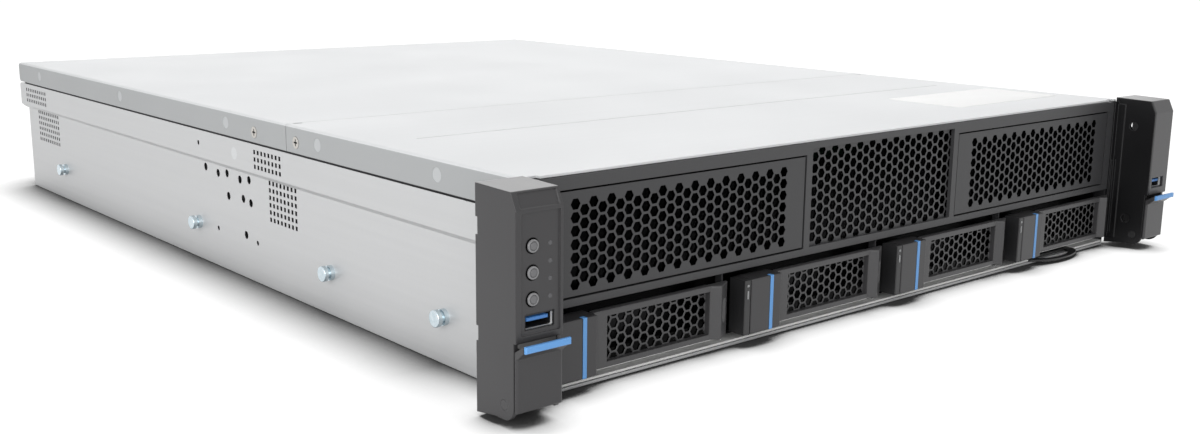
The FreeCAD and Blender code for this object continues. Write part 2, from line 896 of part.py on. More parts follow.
def stripe_block(bay):
    """The space of the coloured stripe: down the button's face and back over its top."""
    left = release_x(bay) + stripe_offset
    face = block((left, left + stripe_width), (-tray_front - stripe_proud, -tray_front + stripe_inlay),
                 (tray_low, tray_high + stripe_proud))
    top = block((left, left + stripe_width), (-tray_front - stripe_proud, -tray_front + stripe_wrap),
                (tray_high - stripe_inlay, tray_high + stripe_proud))
    return fused(face, top)


def release_button(bay):
    """The block that is pressed to free the lever, on a stem that slides in the carrier's bridge."""
    left = release_x(bay)
    body = block((left, left + release_width), (-tray_front, -tray_front + release_depth),
                 (tray_low, tray_high))
    body = softened(body, edge_round, lambda edge: edge.BoundBox.YMax < 0)
    x = left + release_width / 2
    stem = rod(release_stem_radius, (x, -tray_front + release_depth, tray_middle),
               (x, -tray_front + release_depth + release_stem_length, tray_middle))
    return fused(body, stem).cut(stripe_block(bay))


def drive(bay):
    """A three-and-a-half-inch disk drive with a recessed lid."""
    middle = bay_left(bay) + bay_pitch / 2
    low = carrier_low + carrier_pan
    body = block((middle - drive_width / 2, middle + drive_width / 2),
                 (drive_start, drive_start + drive_length), (low, low + drive_height))
    body = softened(body, edge_round * 2, lambda edge: edge.BoundBox.ZLength > drive_height / 2)
    lid_half = drive_width / 2 - drive_rim
    lid = block((middle - lid_half, middle + lid_half),
                (drive_start + drive_rim, drive_start + drive_length - drive_rim),
                (low + drive_height - edge_round, low + drive_height + 1))
    return body.cut(lid)


def drive_backplane():
    """The upright board at the back of the bays, with air slots and a socket for each drive."""
    front = cage_back
    back = cage_back + backplane_sheet
    board = block((-frame_half, frame_half), (front, back), (cage_floor_top, backplane_top))
    pieces = []
    cuts = []
    for bay in range(bay_count):
        middle = bay_left(bay) + bay_pitch / 2
        low = carrier_low + carrier_pan
        pieces.append(block((middle - connector_width / 2, middle + connector_width / 2),
                            (drive_start + drive_length + connector_gap, front),
                            (low, low + connector_height)))
        for z in (cage_floor_top + board_vent_low, backplane_top - board_vent_drop):
            cuts.append(block((middle - board_vent_width / 2, middle + board_vent_width / 2),
                              (front - 1, back + 1), (z, z + board_vent_height)))
    return fused(board.cut(Part.makeCompound(cuts)), *pieces)


# Ears. Each is drawn on the right and mirrored for the left.
def slope_recess():
    """A shallow pocket in the sloping face at the top of an ear, clear of the slope's two ends."""
    top = Vector(0, -ear_top_front, ear_top - ear_top_fall)
    foot = Vector(0, -ear_front, ear_slope_low)
    along = (foot - top).normalize()
    inward = Vector(0, -along.z, along.y)
    start = Vector(ear_inner + ear_recess_edge / 2, 0, 0)
    ends = [start + top + along * ear_slope_margin, start + foot - along * ear_slope_margin]
    corners = [ends[0] - inward, ends[1] - inward, ends[1] + inward * ear_slope_recess,
               ends[0] + inward * ear_slope_recess]
    return prism(polygon(corners), (ear_width - ear_recess_edge * 1.5, 0, 0))


def ear_shell(recessed):
    """A hollow moulding, open at the back, with its lower front left open for the latch."""
    corner_low = latch_pin_z - latch_corner
    shape = rounded([((ear_inner, ear_back, ear_low), 0), ((ear_inner, ear_back, ear_top), 0),
                     ((ear_inner, -ear_top_front, ear_top - ear_top_fall), edge_round),
                     ((ear_inner, -ear_front, ear_slope_low), edge_round),
                     ((ear_inner, -ear_front, ear_shelf), 0),
                     ((ear_inner, -latch_pin_y - latch_corner, ear_shelf), 0),
                     ((ear_inner, -latch_pin_y - latch_corner, corner_low), latch_corner),
                     ((ear_inner, -latch_pin_y + latch_corner, corner_low), 0)])
    outer = prism(shape, (rack_half - ear_inner, 0, 0))
    inner = ear_inner + ear_wall
    width = rack_half - ear_inner - 2 * ear_wall
    low = corner_low + ear_wall
    hollow_top = prism(polygon([(inner, ear_back + 1, ear_shelf + ear_wall),
                                (inner, ear_back + 1, ear_top - ear_wall),
                                (inner, -ear_top_front + ear_wall / 2, ear_top - ear_top_fall - ear_wall),
                                (inner, -ear_front + ear_wall, ear_slope_low - ear_wall / 2),
                                (inner, -ear_front + ear_wall, ear_shelf + ear_wall)]), (width, 0, 0))
    hollow_low = block((inner, inner + width), (-ear_front - 1, ear_back + 1), (low, ear_shelf))
    front_gap = block((inner, inner + width), (-ear_front - 1, -latch_pin_y + latch_corner),
                      (0, latch_pin_z))
    back_way = block((inner, inner + width), (-latch_pin_y + latch_corner, ear_back + 1),
                     (low, ear_shelf + ear_wall * 2))
    shell = outer.cut(Part.makeCompound([hollow_top]))
    for space in (hollow_low, front_gap, back_way):
        shell = shell.cut(space)
    cuts = [rod(ear_hole_radius, (ear_inner - 1, -ear_hole_place, z),
                (ear_inner + ear_wall + 1, -ear_hole_place, z)) for z in ear_hole_heights]
    cuts += [block((rack_half - ear_wall - 1, rack_half + 1), (ear_back - ear_notch_depth, ear_back + 1), z)
             for z in ear_notches]
    cuts.append(rod(latch_pin_radius + hinge_clearance, (ear_inner - 1, -latch_pin_y, latch_pin_z),
                    (rack_half + 1, -latch_pin_y, latch_pin_z)))
    if recessed:
        cuts.append(block((ear_inner + ear_recess_edge / 2, rack_half - ear_recess_edge),
                          (-ear_front - 1, -ear_panel), (ear_recess_low, ear_recess_high)))
        cuts.append(slope_recess())
    usb_half = usb_width / 2 + usb_window_gap
    usb_rise = usb_tall / 2 + usb_window_gap
    cuts.append(block((usb_x - usb_half, usb_x + usb_half), (-ear_front - 1, -ear_front + ear_wall + 1),
                      (usb_height - usb_rise, usb_height + usb_rise)))
    for cut in cuts:
        shell = shell.cut(cut)
    rib = block((ear_inner - ear_rib, ear_inner), (ear_back - ear_rib_depth, ear_back),
                (ear_low + ear_wall * 2, ear_top - ear_wall * 2))
    tongue = block((low_wall, low_wall + ear_wall), (ear_back - ear_rib_depth / 2, tongue_length),
                   (tongue_low, tongue_high))
    bridge = block((low_wall, ear_inner + ear_wall), (ear_back - ear_rib_depth / 2, ear_back),
                   (tongue_low, tongue_high))
    skirt_back = case_front - ear_skirt_gap
    skirt = block((inside_half, ear_inner + ear_wall / 2), (skirt_back - ear_skirt, skirt_back),
                  (ear_low + ear_wall * 2, frame_top))
    ear = fused(shell, rib, tongue, bridge, skirt)
    for z in tongue_screw_heights:
        ear = ear.cut(rod(screw_head_radius + screw_gap, (low_wall - 1, tongue_screw_place, z),
                          (half + 1, tongue_screw_place, z)))
    socket_floor = block((ear_inner + ear_wall / 2, rack_half - ear_wall / 2),
                         (-ear_front + ear_wall / 2, -ear_front + usb_depth),
                         (ear_shelf, usb_height - usb_tall / 2))
    return fused(ear, socket_floor)


def ear_right():
    return ear_shell(False)


def switch_plate_front():
    """The face of the plate that the buttons are pressed against."""
    wall_back = -ear_front + ear_wall
    return wall_back + slide_clearance + button_collar_height + button_travel + slide_clearance


def ear_left():
    """The control ear: its front wall also has holes for buttons and lights, with a switch plate behind."""
    ear = ear_shell(True)
    foot = block((ear_inner - 1, ear_inner + ear_wall), (-ear_front - 1, -latch_pin_y + latch_corner),
                 (0, ear_foot_trim))
    ear = ear.cut(foot)
    start = switch_plate_front()
    low = button_low - button_plate_low
    high = button_top + button_plate_high
    plate = block((ear_inner + ear_wall / 2, rack_half - ear_wall / 2),
                  (start, start + button_plate), (low, high))
    ear = fused(ear, plate)
    holes = [rod(button_radius + button_gap, (button_x, -ear_front - 1, z),
                 (button_x, -ear_front + ear_wall + slide_clearance / 2, z)) for z in button_heights]
    holes += [rod(light_radius, (light_x, -ear_front - 1, z), (light_x, start, z)) for z in light_heights]
    return mirrored(ear.cut(Part.makeCompound(holes)))


def push_button(index):
    """A round cap with a collar behind the ear's front wall."""
    z = button_heights[index]
    face = -ear_panel - button_proud - button_travel
    wall_back = -ear_front + ear_wall
    collar_start = wall_back + slide_clearance
    cap = rod(button_radius, (-button_x, face, z), (-button_x, collar_start, z))
    cap = softened(cap, button_gap, lambda edge: edge.BoundBox.YMax < face + button_gap)
    collar = rod(button_radius + button_gap + button_collar, (-button_x, collar_start, z),
                 (-button_x, collar_start + button_collar_height, z))
    return fused(cap, collar)


def status_lights():
    """Four light pipes in the control ear."""
    face = -ear_panel
    return Part.makeCompound([rod(light_radius, (-light_x, face, z), (-light_x, switch_plate_front(), z))
                              for z in light_heights])


def usb_socket():
    """A pressed shell with a tongue inside, open at the front."""
    start = -ear_panel
    end = -ear_front + usb_depth
    x = (usb_x - usb_width / 2, usb_x + usb_width / 2)
    z = (usb_height - usb_tall / 2, usb_height + usb_tall / 2)
    hollow = block((x[0] + usb_shell, x[1] - usb_shell), (start - 1, end - usb_shell),
                   (z[0] + usb_shell, z[1] - usb_shell))
    shell = block(x, (start, end), z).cut(hollow)
    tongue = block((x[0] + 4 * usb_shell, x[1] - 4 * usb_shell), (start + usb_shell, end - usb_shell),
                   (z[1] - 2 * usb_shell - usb_tongue, z[1] - 2 * usb_shell))
    return Part.makeCompound([shell, tongue])


def usb_right():
    return usb_socket()


def usb_left():
    return mirrored(usb_socket())


def latch_lever_right():
    """The flap that hooks the ear to the rack: a face plate with a flared lip, cheeks and a barrel."""
    face = block((ear_inner + latch_side_gap, rack_half - latch_side_gap),
                 (-latch_face, -latch_face + latch_plate), (latch_low, latch_high))
    face = softened(face, latch_edge, lambda edge: edge.BoundBox.YMax < -latch_face + latch_edge)
    inner = ear_inner + ear_wall + latch_cheek_gap
    outer = rack_half - ear_wall - latch_cheek_gap
    back = -latch_face + latch_plate
    lip_front = -tab_front + tab_sheet
    flare = [(back, latch_high), (lip_front, tab_low + tab_height), (lip_front, tab_low),
             (-latch_face, latch_high - lip_root), (back, latch_high - lip_root)]
    lip = prism(polygon([(ear_inner + latch_side_gap, y, z) for y, z in flare]),
                (ear_width - latch_side_gap * 2, 0, 0))
    cheek = [(back, latch_low + latch_plate), (back, latch_high), (back + latch_barrel, latch_high),
             (-latch_pin_y + latch_barrel, latch_pin_z), (-latch_pin_y, latch_pin_z - latch_barrel / 2)]
    cheeks = [prism(polygon([(x, y, z) for y, z in cheek]), (latch_cheek, 0, 0))
              for x in (inner, outer - latch_cheek)]
    barrel = rod(latch_barrel, (inner, -latch_pin_y, latch_pin_z), (outer, -latch_pin_y, latch_pin_z))
    bore = rod(latch_pin_radius + hinge_clearance, (ear_inner, -latch_pin_y, latch_pin_z),
               (rack_half, -latch_pin_y, latch_pin_z))
    return fused(face, lip, barrel, *cheeks).cut(bore)


def latch_lever_left():
    return mirrored(latch_lever_right())


def latch_tab_right():
    """The coloured strip along the front of the latch's lip."""
    tab = block((ear_inner + latch_side_gap * 2, rack_half - latch_side_gap * 2),
                (-tab_front, -tab_front + tab_sheet), (tab_low, tab_low + tab_height))
    return softened(tab, edge_round, lambda edge: edge.BoundBox.YMax < -tab_front + edge_round)


def latch_tab_left():
    return mirrored(latch_tab_right())


def latch_pins():
    pin = rod(latch_pin_radius, (ear_inner, -latch_pin_y, latch_pin_z),
              (rack_half, -latch_pin_y, latch_pin_z))
    return Part.makeCompound([pin, mirrored(pin)])


def info_tag():
    """A flat card under the right-hand tray, pulled out by a half-oval loop."""
    low = case_sheet + tag_lift
    up = Vector(0, 0, tag_thick)
    tag_x = bay_left(bay_count - 1) + tag_place

    def half_oval(wide, reach):
        oval = Part.Ellipse(Vector(tag_x, tag_base, low), wide, reach).toShape()
        disc = Part.Face(Part.Wire(oval)).extrude(up)
        front_half = block((tag_x - wide, tag_x + wide), (tag_base - reach, tag_base), (low, low + tag_thick))
        return disc.common(front_half)

    loop = half_oval(tag_half, tag_reach).cut(half_oval(tag_half - tag_ring_side, tag_reach - tag_ring))
    card = block((tag_x - tag_half, tag_x + tag_half), (tag_base, tag_base + tag_card_length),
                 (low, low + tag_thick))
    return fused(loop, card)


# Fans
def fan_middles():
    return [(index - (fan_count - 1) / 2) * fan_pitch for index in range(fan_count)]


def fan_centre_height():
    return case_sheet + fan_floor_gap + fan_size / 2


def fan_wall():
    """A steel wall across the case with a round way through it for each fan, folded at its foot."""
    outer = polygon([(-frame_half, fan_wall_place, case_sheet), (frame_half, fan_wall_place, case_sheet),
                     (frame_half, fan_wall_place, wall_top), (-frame_half, fan_wall_place, wall_top)])
    holes = [circle((x, fan_wall_place, fan_centre_height()), (0, 1, 0), fan_bore) for x in fan_middles()]
    wall = prism(outer, (0, case_sheet, 0), holes)
    foot = block((-frame_half, frame_half), (fan_wall_place - fan_wall_foot, fan_wall_place),
                 (case_sheet, case_sheet * 2))
    return fused(wall, foot)


def fan_housings():
    """Square fan bodies, each with a rear boss on struts that holds the rotor's shaft."""
    housings = []
    start = fan_wall_place + case_sheet
    end = start + fan_depth
    z = fan_centre_height()
    for x in fan_middles():
        body = block((x - fan_size / 2, x + fan_size / 2), (start, end), (z - fan_size / 2, z + fan_size / 2))
        body = body.cut(rod(fan_bore, (x, start - 1, z), (x, end + 1, z)))
        boss_start = end - fan_boss_depth
        boss = rod(fan_boss, (x, boss_start, z), (x, end, z))
        reach = fan_bore + 1
        struts = [block((x - reach, x + reach), (boss_start, end), (z - fan_strut / 2, z + fan_strut / 2)),
                  block((x - fan_strut / 2, x + fan_strut / 2), (boss_start, end), (z - reach, z + reach))]
        shaft = rod(shaft_radius, (x, boss_start - shaft_length, z), (x, boss_start, z))
        housings.append(fused(body, boss, shaft, *struts))
    return Part.makeCompound(housings)


def fan_rotor(index):
    """Hub and blades, bored for the shaft."""
    x = fan_middles()[index]
    z = fan_centre_height()
    start = fan_wall_place + case_sheet + rotor_start
    end = fan_wall_place + case_sheet + fan_depth - fan_boss_depth - rotor_gap
    middle = (start + end) / 2
    hub = rod(rotor_hub, (x, start, z), (x, end, z))
    blades = []
    for blade in range(rotor_blades):
        plate = block((rotor_hub - blade_thick, rotor_radius - blade_thick),
                      (-blade_chord / 2, blade_chord / 2), (-blade_thick / 2, blade_thick / 2))
        plate.rotate(Vector(0, 0, 0), Vector(1, 0, 0), blade_pitch_angle)
        plate.rotate(Vector(0, 0, 0), Vector(0, 1, 0), blade * 360 / rotor_blades)
        plate.translate(Vector(x, middle, z))
        blades.append(plate)
    limit = rod(rotor_radius, (x, start, z), (x, end, z))
    bore = rod(shaft_radius + hinge_clearance, (x, end - shaft_length, z), (x, end + 1, z))
    return fused(hub, *blades).common(limit).cut(bore)


# Main board
def motherboard():
    """The main board on stand-offs, with two processor blocks."""
    board = block((board_left, board_right), (board_front, board_back), (board_height, board_top))
    inset = standoff_inset
    stands = [rod(standoff_radius, (x, y, case_sheet), (x, y, board_height))
              for x in (board_left + inset, (board_left + board_right) / 2, board_right - inset)
              for y in (board_front + inset, (board_front + board_back) / 2, board_back - inset)]
    blocks = [block((x - cpu_size / 2, x + cpu_size / 2), (cpu_y - cpu_size / 2, cpu_y + cpu_size / 2),
                    (board_top, board_top + cpu_block)) for x in cpu_places]
    return fused(board, *(stands + blocks))


def heat_sinks():
    """Finned blocks on the two processors, fins along the air flow."""
    sinks = []
    low = board_top + cpu_block
    for x in cpu_places:
        base = block((x - sink_size / 2, x + sink_size / 2), (cpu_y - sink_size / 2, cpu_y + sink_size / 2),
                     (low, low + sink_base))
        step = (sink_size - fin_sheet) / (fin_count - 1)
        fins = []
        for index in range(fin_count):
            left = x - sink_size / 2 + index * step
            fins.append(block((left, left + fin_sheet), (cpu_y - sink_size / 2, cpu_y + sink_size / 2),
                              (low + sink_base, sink_top)))
        sinks.append(fused(base, *fins))
    return Part.makeCompound(sinks)


def memory_modules():
    """Upright memory cards in their sockets, on both sides of the left processor."""
    modules = []
    x = cpu_places[0]
    for side in (-1, 1):
        for index in range(memory_count):
            middle = x + side * (sink_size / 2 + memory_pitch * (index + 1))
            y = (cpu_y - memory_length / 2, cpu_y + memory_length / 2)
            socket = block((middle - memory_socket / 2, middle + memory_socket / 2), y,
                           (board_top, board_top + memory_socket_high))
            card = block((middle - memory_card / 2, middle + memory_card / 2), y,
                         (board_top + memory_socket_high, board_top + memory_socket_high + memory_high))
            modules.append(fused(socket, card))
    return Part.makeCompound(modules)


# Power units
def power_low(index):
    """Underside of a power unit: the first stands on the floor, the second on the shelf above it."""
    return case_sheet + power_gap + index * (power_height + power_gap * 2 + power_wall)


def power_unit(index):
    """A hot-swap supply: an open-fronted shell with a vented rear face, mains inlet and bail handle."""
    low = power_low(index)
    x = (power_left, power_left + power_width)
    z = (low, low + power_height)
    front = power_back - power_length
    hollow = block((x[0] + power_sheet, x[1] - power_sheet), (front - 1, power_back - power_face),
                   (z[0] + power_sheet, z[1] - power_sheet))
    shell = block(x, (front, power_back), z).cut(hollow)
    middle = low + power_height / 2
    inlet_middle = power_left + inlet_x
    wide = inlet_width / 2
    tall = inlet_height / 2
    inlet_end = power_back - inlet_depth
    housing = block((inlet_middle - wide - inlet_wall, inlet_middle + wide + inlet_wall),
                    (inlet_end - inlet_wall, power_back - power_face / 2),
                    (middle - tall - inlet_wall, middle + tall + inlet_wall))
    mouth = block((inlet_middle - wide, inlet_middle + wide), (inlet_end, power_back + 1),
                  (middle - tall, middle + tall))
    pins = []
    for step in (-1, 0, 1):
        pin_x = inlet_middle + step * inlet_pin_pitch
        pins.append(block((pin_x - inlet_pin / 4, pin_x + inlet_pin / 4),
                          (inlet_end - inlet_wall / 2, inlet_end + inlet_pin_length),
                          (middle - inlet_pin / 2, middle + inlet_pin / 2)))
    handle_x = power_left + power_handle_x
    vents = []
    for column in range(power_vent_columns):
        for row in range(power_vent_rows):
            vent_x = handle_x + (column - (power_vent_columns - 1) / 2) * power_vent_pitch
            vent_z = middle + (row - (power_vent_rows - 1) / 2) * power_vent_pitch
            vents.append(rod(power_vent_hole / 2, (vent_x, power_back - power_face - 1, vent_z),
                             (vent_x, power_back + 1, vent_z)))
    bar = power_handle_bar
    reach = power_back + power_handle_reach
    leg_x = power_handle_width / 2 + bar / 2
    bar_z = (middle - bar / 2, middle + bar / 2)
    legs = [block((handle_x + side * leg_x - bar / 2, handle_x + side * leg_x + bar / 2),
                  (power_back - power_face / 2, reach), bar_z) for side in (-1, 1)]
    grip = block((handle_x - leg_x - bar / 2, handle_x + leg_x + bar / 2), (reach - bar, reach), bar_z)
    unit = fused(shell, housing).cut(mouth).cut(Part.makeCompound(vents)).cut(latch_slot(index))
    handle = fused(grip, *legs)
    handle = softened(handle, power_handle_round, lambda edge: edge.BoundBox.YMin > reach - edge_round
                      and edge.BoundBox.ZLength > bar / 2)
    return fused(unit, handle, *pins)


def latch_limits(index):
    """The place of a power unit's release latch at rest, as limits along X and Z."""
    left = power_left + power_latch_left
    low = power_low(index) + power_latch_low
    return (left, left + power_latch_width), (low, low + power_latch_height)


def latch_slot(index):
    """The way through the rear face that the release latch moves sideways in."""
    x, z = latch_limits(index)
    gap = slide_clearance
    return block((x[0] - power_latch_travel - gap, x[1] + gap),
                 (power_back - power_face - 1, power_back + 1), (z[0] - gap, z[1] + gap))


def power_latch(index):
    """The coloured tab that frees a power unit, with a foot behind the rear face."""
    x, z = latch_limits(index)
    tip = power_back + power_latch_reach
    foot_end = power_back - power_face - slide_clearance
    stem = block(x, (foot_end, tip), z)
    stem = softened(stem, edge_round, lambda edge: edge.BoundBox.YMin > tip - edge_round)
    foot = block((x[0], x[1] + power_latch_foot), (foot_end - power_sheet, foot_end),
                 (z[0] - power_sheet, z[1] + power_sheet))
    return fused(stem, foot)


# Rear
def rear_panel():
    """The rear wall, with ways through for power units, ports and cards, and the power units' shelf."""
    place = rear_low - case_sheet
    outer = polygon([(-inside_half, place, case_sheet), (inside_half, place, case_sheet),
                     (inside_half, place, wall_top), (-inside_half, place, wall_top)])
    column_pitch = rear_vent_pitch * column_ratio
    columns = int((rear_vent_right - rear_vent_left) / column_pitch)
    rows = int((rear_vent_high - rear_vent_low) / rear_vent_pitch)
    holes = []
    for column in range(columns):
        for row in range(rows):
            z = rear_vent_low + (row + 0.5 * (column % 2)) * rear_vent_pitch
            holes.append(hexagon(rear_vent_left + column * column_pitch, place, z, rear_vent_hole))
    for index in range(slot_count):
        x = slot_first + index * slot_pitch
        wide = slot_opening_width / 2
        low = slot_low + slot_opening_edge
        high = slot_high - slot_opening_edge
        holes.append(polygon([(x - wide, place, low), (x + wide, place, low),
                              (x + wide, place, high), (x - wide, place, high)]))
    wall = prism(outer, (0, case_sheet, 0), holes)
    bay = block((power_left - power_gap, power_left + power_width + power_gap), (place - 1, rear_low + 1),
                (case_sheet, power_low(1) + power_height + power_gap))
    ways = [block((x[0] - port_gap, x[1] + port_gap), (place - 1, rear_low + 1),
                  (board_height, z[1] + port_gap)) for x, z in port_limits()]
    wall = wall.cut(bay)
    for way in ways:
        wall = wall.cut(way)
    front = power_back - power_length - power_shelf_overhang
    shelf_low = power_low(0) + power_height + power_gap
    fence_side = power_fence + power_wall
    shelf = block((-inside_half, fence_side), (front, rear_low), (shelf_low, shelf_low + power_wall))
    fence = block((power_fence, fence_side), (front, rear_low), (case_sheet, wall_top))
    return fused(wall, shelf, fence)


def port_limits():
    """Limits along X and Z of each rear port, standing on the main board."""
    low = board_top
    limits = [((x - network_width / 2, x + network_width / 2), (low, low + network_height))
              for x in network_places]
    limits += [((x - usb_tall / 2, x + usb_tall / 2), (low, low + usb_width)) for x in port_usb_places]
    limits.append(((video_place - video_width / 2, video_place + video_width / 2), (low, low + video_height)))
    return limits


def io_ports():
    """Network sockets, upright serial-bus sockets and a video socket."""
    ports = []
    limits = port_limits()
    start = board_back - network_depth
    end = rear_low + power_face_proud / 2
    for x, z in limits[:len(network_places)]:
        body = block(x, (start, end), z)
        middle = (x[0] + x[1]) / 2
        rise = z[0] + (network_height - network_cavity_height) / 2
        cavity = block((middle - network_cavity_width / 2, middle + network_cavity_width / 2),
                       (end - network_cavity_depth, end + 1), (rise, rise + network_cavity_height))
        ports.append(body.cut(cavity))
    for x, z in limits[len(network_places):-1]:
        body = block(x, (start, end), z)
        cavity = block((x[0] + usb_shell, x[1] - usb_shell), (start + usb_shell, end + 1),
                       (z[0] + usb_shell, z[1] - usb_shell))
        tongue = block((x[0] + 2 * usb_shell, x[0] + 2 * usb_shell + usb_tongue), (start, end - usb_shell),
                       (z[0] + 4 * usb_shell, z[1] - 4 * usb_shell))
        ports.append(fused(body.cut(cavity), tongue))
    x, z = limits[-1]
    middle = (x[0] + x[1]) / 2
    rise = (z[0] + z[1]) / 2
    body = block(x, (start, rear_low - case_sheet / 2), z)
    nose = block((middle - video_nose_half, middle + video_nose_half), (start, end + power_face_proud * 2),
                 (rise - video_nose_rise, rise + video_nose_rise))
    ports.append(fused(body, nose))
    return Part.makeCompound(ports)


def slot_covers():
    """Blank plates over the unused card slots."""
    plates = []
    for index in range(slot_count):
        x = slot_first + index * slot_pitch
        plate = block((x - slot_plate_width / 2, x + slot_plate_width / 2),
                      (rear_low, rear_low + cover_sheet), (slot_low, slot_high))
        plates.append(softened(plate, edge_round, lambda edge: edge.BoundBox.YLength > cover_sheet / 2))
    return Part.makeCompound(plates)


# Every piece by its name
pieces = {
    "chassis_base": chassis_base(), "rear_panel": rear_panel(), "front_frame": front_frame(),
    "left_bay_blank": left_bay_blank(), "right_bay_blank": right_bay_blank(), "drive_cage": drive_cage(),
    "drive_backplane": drive_backplane(), "fan_wall": fan_wall(), "fan_housings": fan_housings(),
    "motherboard": motherboard(), "heat_sinks": heat_sinks(), "memory_modules": memory_modules(),
    "io_ports": io_ports(), "slot_covers": slot_covers(), "top_cover_front": top_cover_front(),
    "top_cover_rear": top_cover_rear(), "case_screws": case_screws(), "rail_studs": rail_studs(),
    "ear_left": ear_left(), "ear_right": ear_right(), "usb_left": usb_left(), "usb_right": usb_right(),
    "status_lights": status_lights(), "latch_lever_left": latch_lever_left(),
    "latch_lever_right": latch_lever_right(), "latch_tab_left": latch_tab_left(),
    "latch_tab_right": latch_tab_right(), "latch_pins": latch_pins(), "info_tag": info_tag(),
}
for index, name in enumerate(("power_button", "locate_button", "reset_button")):
    pieces[name] = push_button(index)
for index in range(fan_count):
    pieces[f"fan_rotor_{index + 1}"] = fan_rotor(index)
for index in range(2):
    pieces[f"power_unit_{index + 1}"] = power_unit(index)
    pieces[f"power_latch_{index + 1}"] = power_latch(index)
for bay in range(bay_count):
    pieces[f"carrier_{bay + 1}"] = carrier(bay)
    pieces[f"tray_lever_{bay + 1}"] = tray_lever(bay)
    pieces[f"release_button_{bay + 1}"] = release_button(bay)
    pieces[f"release_stripe_{bay + 1}"] = stripe_block(bay)
    pieces[f"drive_{bay + 1}"] = drive(bay)

os.makedirs("parts", exist_ok=True)
for name, shape in pieces.items():
    placed = shape.copy()
    placed.translate(Vector(0, -origin_y, 0))
    placed.exportStep(f"parts/{name}.step")
    print(name, len(placed.Solids), "solids, valid" if placed.isValid() else "solids, NOT VALID")
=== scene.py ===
# %% [markdown]
# # A rack video recorder, dressed in Blender
# The solids of the recorder arrive as a fixed frame: a zinc steel case, two covers, a black perforated
# front, four drive trays and two rack ears. This lesson gives each of them its finish, adds the small
# fittings that are easier to shape by hand, and then sets up the studio that the recorder stands in.

import math

import bmesh
import bpy
from mathutils import Matrix, Vector


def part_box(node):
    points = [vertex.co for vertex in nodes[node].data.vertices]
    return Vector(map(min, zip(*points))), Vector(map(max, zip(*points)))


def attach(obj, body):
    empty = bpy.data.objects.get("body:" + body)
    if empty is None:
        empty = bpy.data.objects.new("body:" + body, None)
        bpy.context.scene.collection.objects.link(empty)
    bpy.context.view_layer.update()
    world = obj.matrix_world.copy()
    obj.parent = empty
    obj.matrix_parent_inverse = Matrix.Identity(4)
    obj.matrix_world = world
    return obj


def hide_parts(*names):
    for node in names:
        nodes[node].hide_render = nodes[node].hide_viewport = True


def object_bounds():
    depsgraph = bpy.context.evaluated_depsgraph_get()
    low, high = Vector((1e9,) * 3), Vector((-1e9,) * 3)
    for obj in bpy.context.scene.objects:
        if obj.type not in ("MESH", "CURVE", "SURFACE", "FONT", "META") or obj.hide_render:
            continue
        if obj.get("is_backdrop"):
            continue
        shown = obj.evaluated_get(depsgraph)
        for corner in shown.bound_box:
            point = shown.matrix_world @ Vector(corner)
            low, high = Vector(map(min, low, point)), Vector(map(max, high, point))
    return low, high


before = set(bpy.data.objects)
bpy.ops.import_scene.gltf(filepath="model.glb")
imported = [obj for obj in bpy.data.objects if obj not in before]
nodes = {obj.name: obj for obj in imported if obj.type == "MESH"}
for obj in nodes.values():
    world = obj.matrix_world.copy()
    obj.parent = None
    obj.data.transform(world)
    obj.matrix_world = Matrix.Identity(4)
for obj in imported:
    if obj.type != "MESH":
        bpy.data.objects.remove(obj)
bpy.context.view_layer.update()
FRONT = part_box("front_frame")[0].y
MM = 0.001
print("frame loaded:", len(nodes), "solids, front face at", round(FRONT, 4))


# %% [markdown]
# Places on the recorder are easiest to give in millimetres from the front face: across, back and up. One
# small function turns such a place into Blender's metres.

# %% A place on the recorder
def place(across, back, up):
    """Millimetres from the middle of the front face, at the level of the case's underside."""
    return Vector((across * MM, FRONT + back * MM, up * MM))


print("middle of the front edge:", tuple(round(v, 4) for v in place(0, 0, 0)))


# %% [markdown]
# ## Writing finishes as sums
# A finish is a small network of nodes. Drawing it by hand means a Math node for every plus and times, so
# a wrapper around a node's output turns ordinary Python sums into those nodes.

# %% Sums on sockets
class Wire:
    """One output of a node, which can be added, taken away, multiplied and compared."""

    def __init__(self, finish, socket):
        self.finish = finish
        self.socket = socket

    def math(self, operation, first, second):
        return self.finish.node("ShaderNodeMath", {"operation": operation}, {0: first, 1: second})

    def __add__(self, other):
        return self.math("ADD", self, other)

    def __radd__(self, other):
        return self.math("ADD", other, self)

    def __sub__(self, other):
        return self.math("SUBTRACT", self, other)

    def __rsub__(self, other):
        return self.math("SUBTRACT", other, self)

    def __mul__(self, other):
        return self.math("MULTIPLY", self, other)

    def __rmul__(self, other):
        return self.math("MULTIPLY", other, self)

    def over(self, limit):
        return self.math("GREATER_THAN", self, limit)

    def under(self, limit):
        return self.math("LESS_THAN", self, limit)

    def or_more(self, other):
        return self.math("MAXIMUM", self, other)

    def at_most(self, limit):
        return self.math("MINIMUM", self, limit)

    def size(self):
        return self.math("ABSOLUTE", self, 0.0)

    def root(self):
        return self.math("POWER", self, 0.5)


print("sums on sockets ready")


# %% [markdown]
# Everything else comes from one method, which adds a node, sets it up, and fills or links its sockets. It
# serves the world as well as the materials, so it has a class of its own.

# %% A tree that grows
class Network:
    """A tree of nodes that grows node by node."""

    def __init__(self, tree):
        self.tree = tree

    def node(self, kind, settings, inputs, output=0):
        made = self.tree.nodes.new(kind)
        for key, value in settings.items():
            setattr(made, key, value)
        for key, value in inputs.items():
            self.fill(self.socket(made.inputs, key), value)
        return Wire(self, self.socket(made.outputs, output))

    def socket(self, sockets, key):
        if isinstance(key, int):
            return sockets[key]
        return next(s for s in sockets if key in (s.identifier, s.name))

    def fill(self, socket, value):
        if isinstance(value, Wire):
            self.tree.links.new(value.socket, socket)
        elif socket.type == "RGBA":
            socket.default_value = (*value, 1)
        else:
            socket.default_value = value

    def ray(self, kind):
        """One for rays of a kind, such as those of the camera."""
        return self.node("ShaderNodeLightPath", {}, {}, kind)


print("node maker ready")


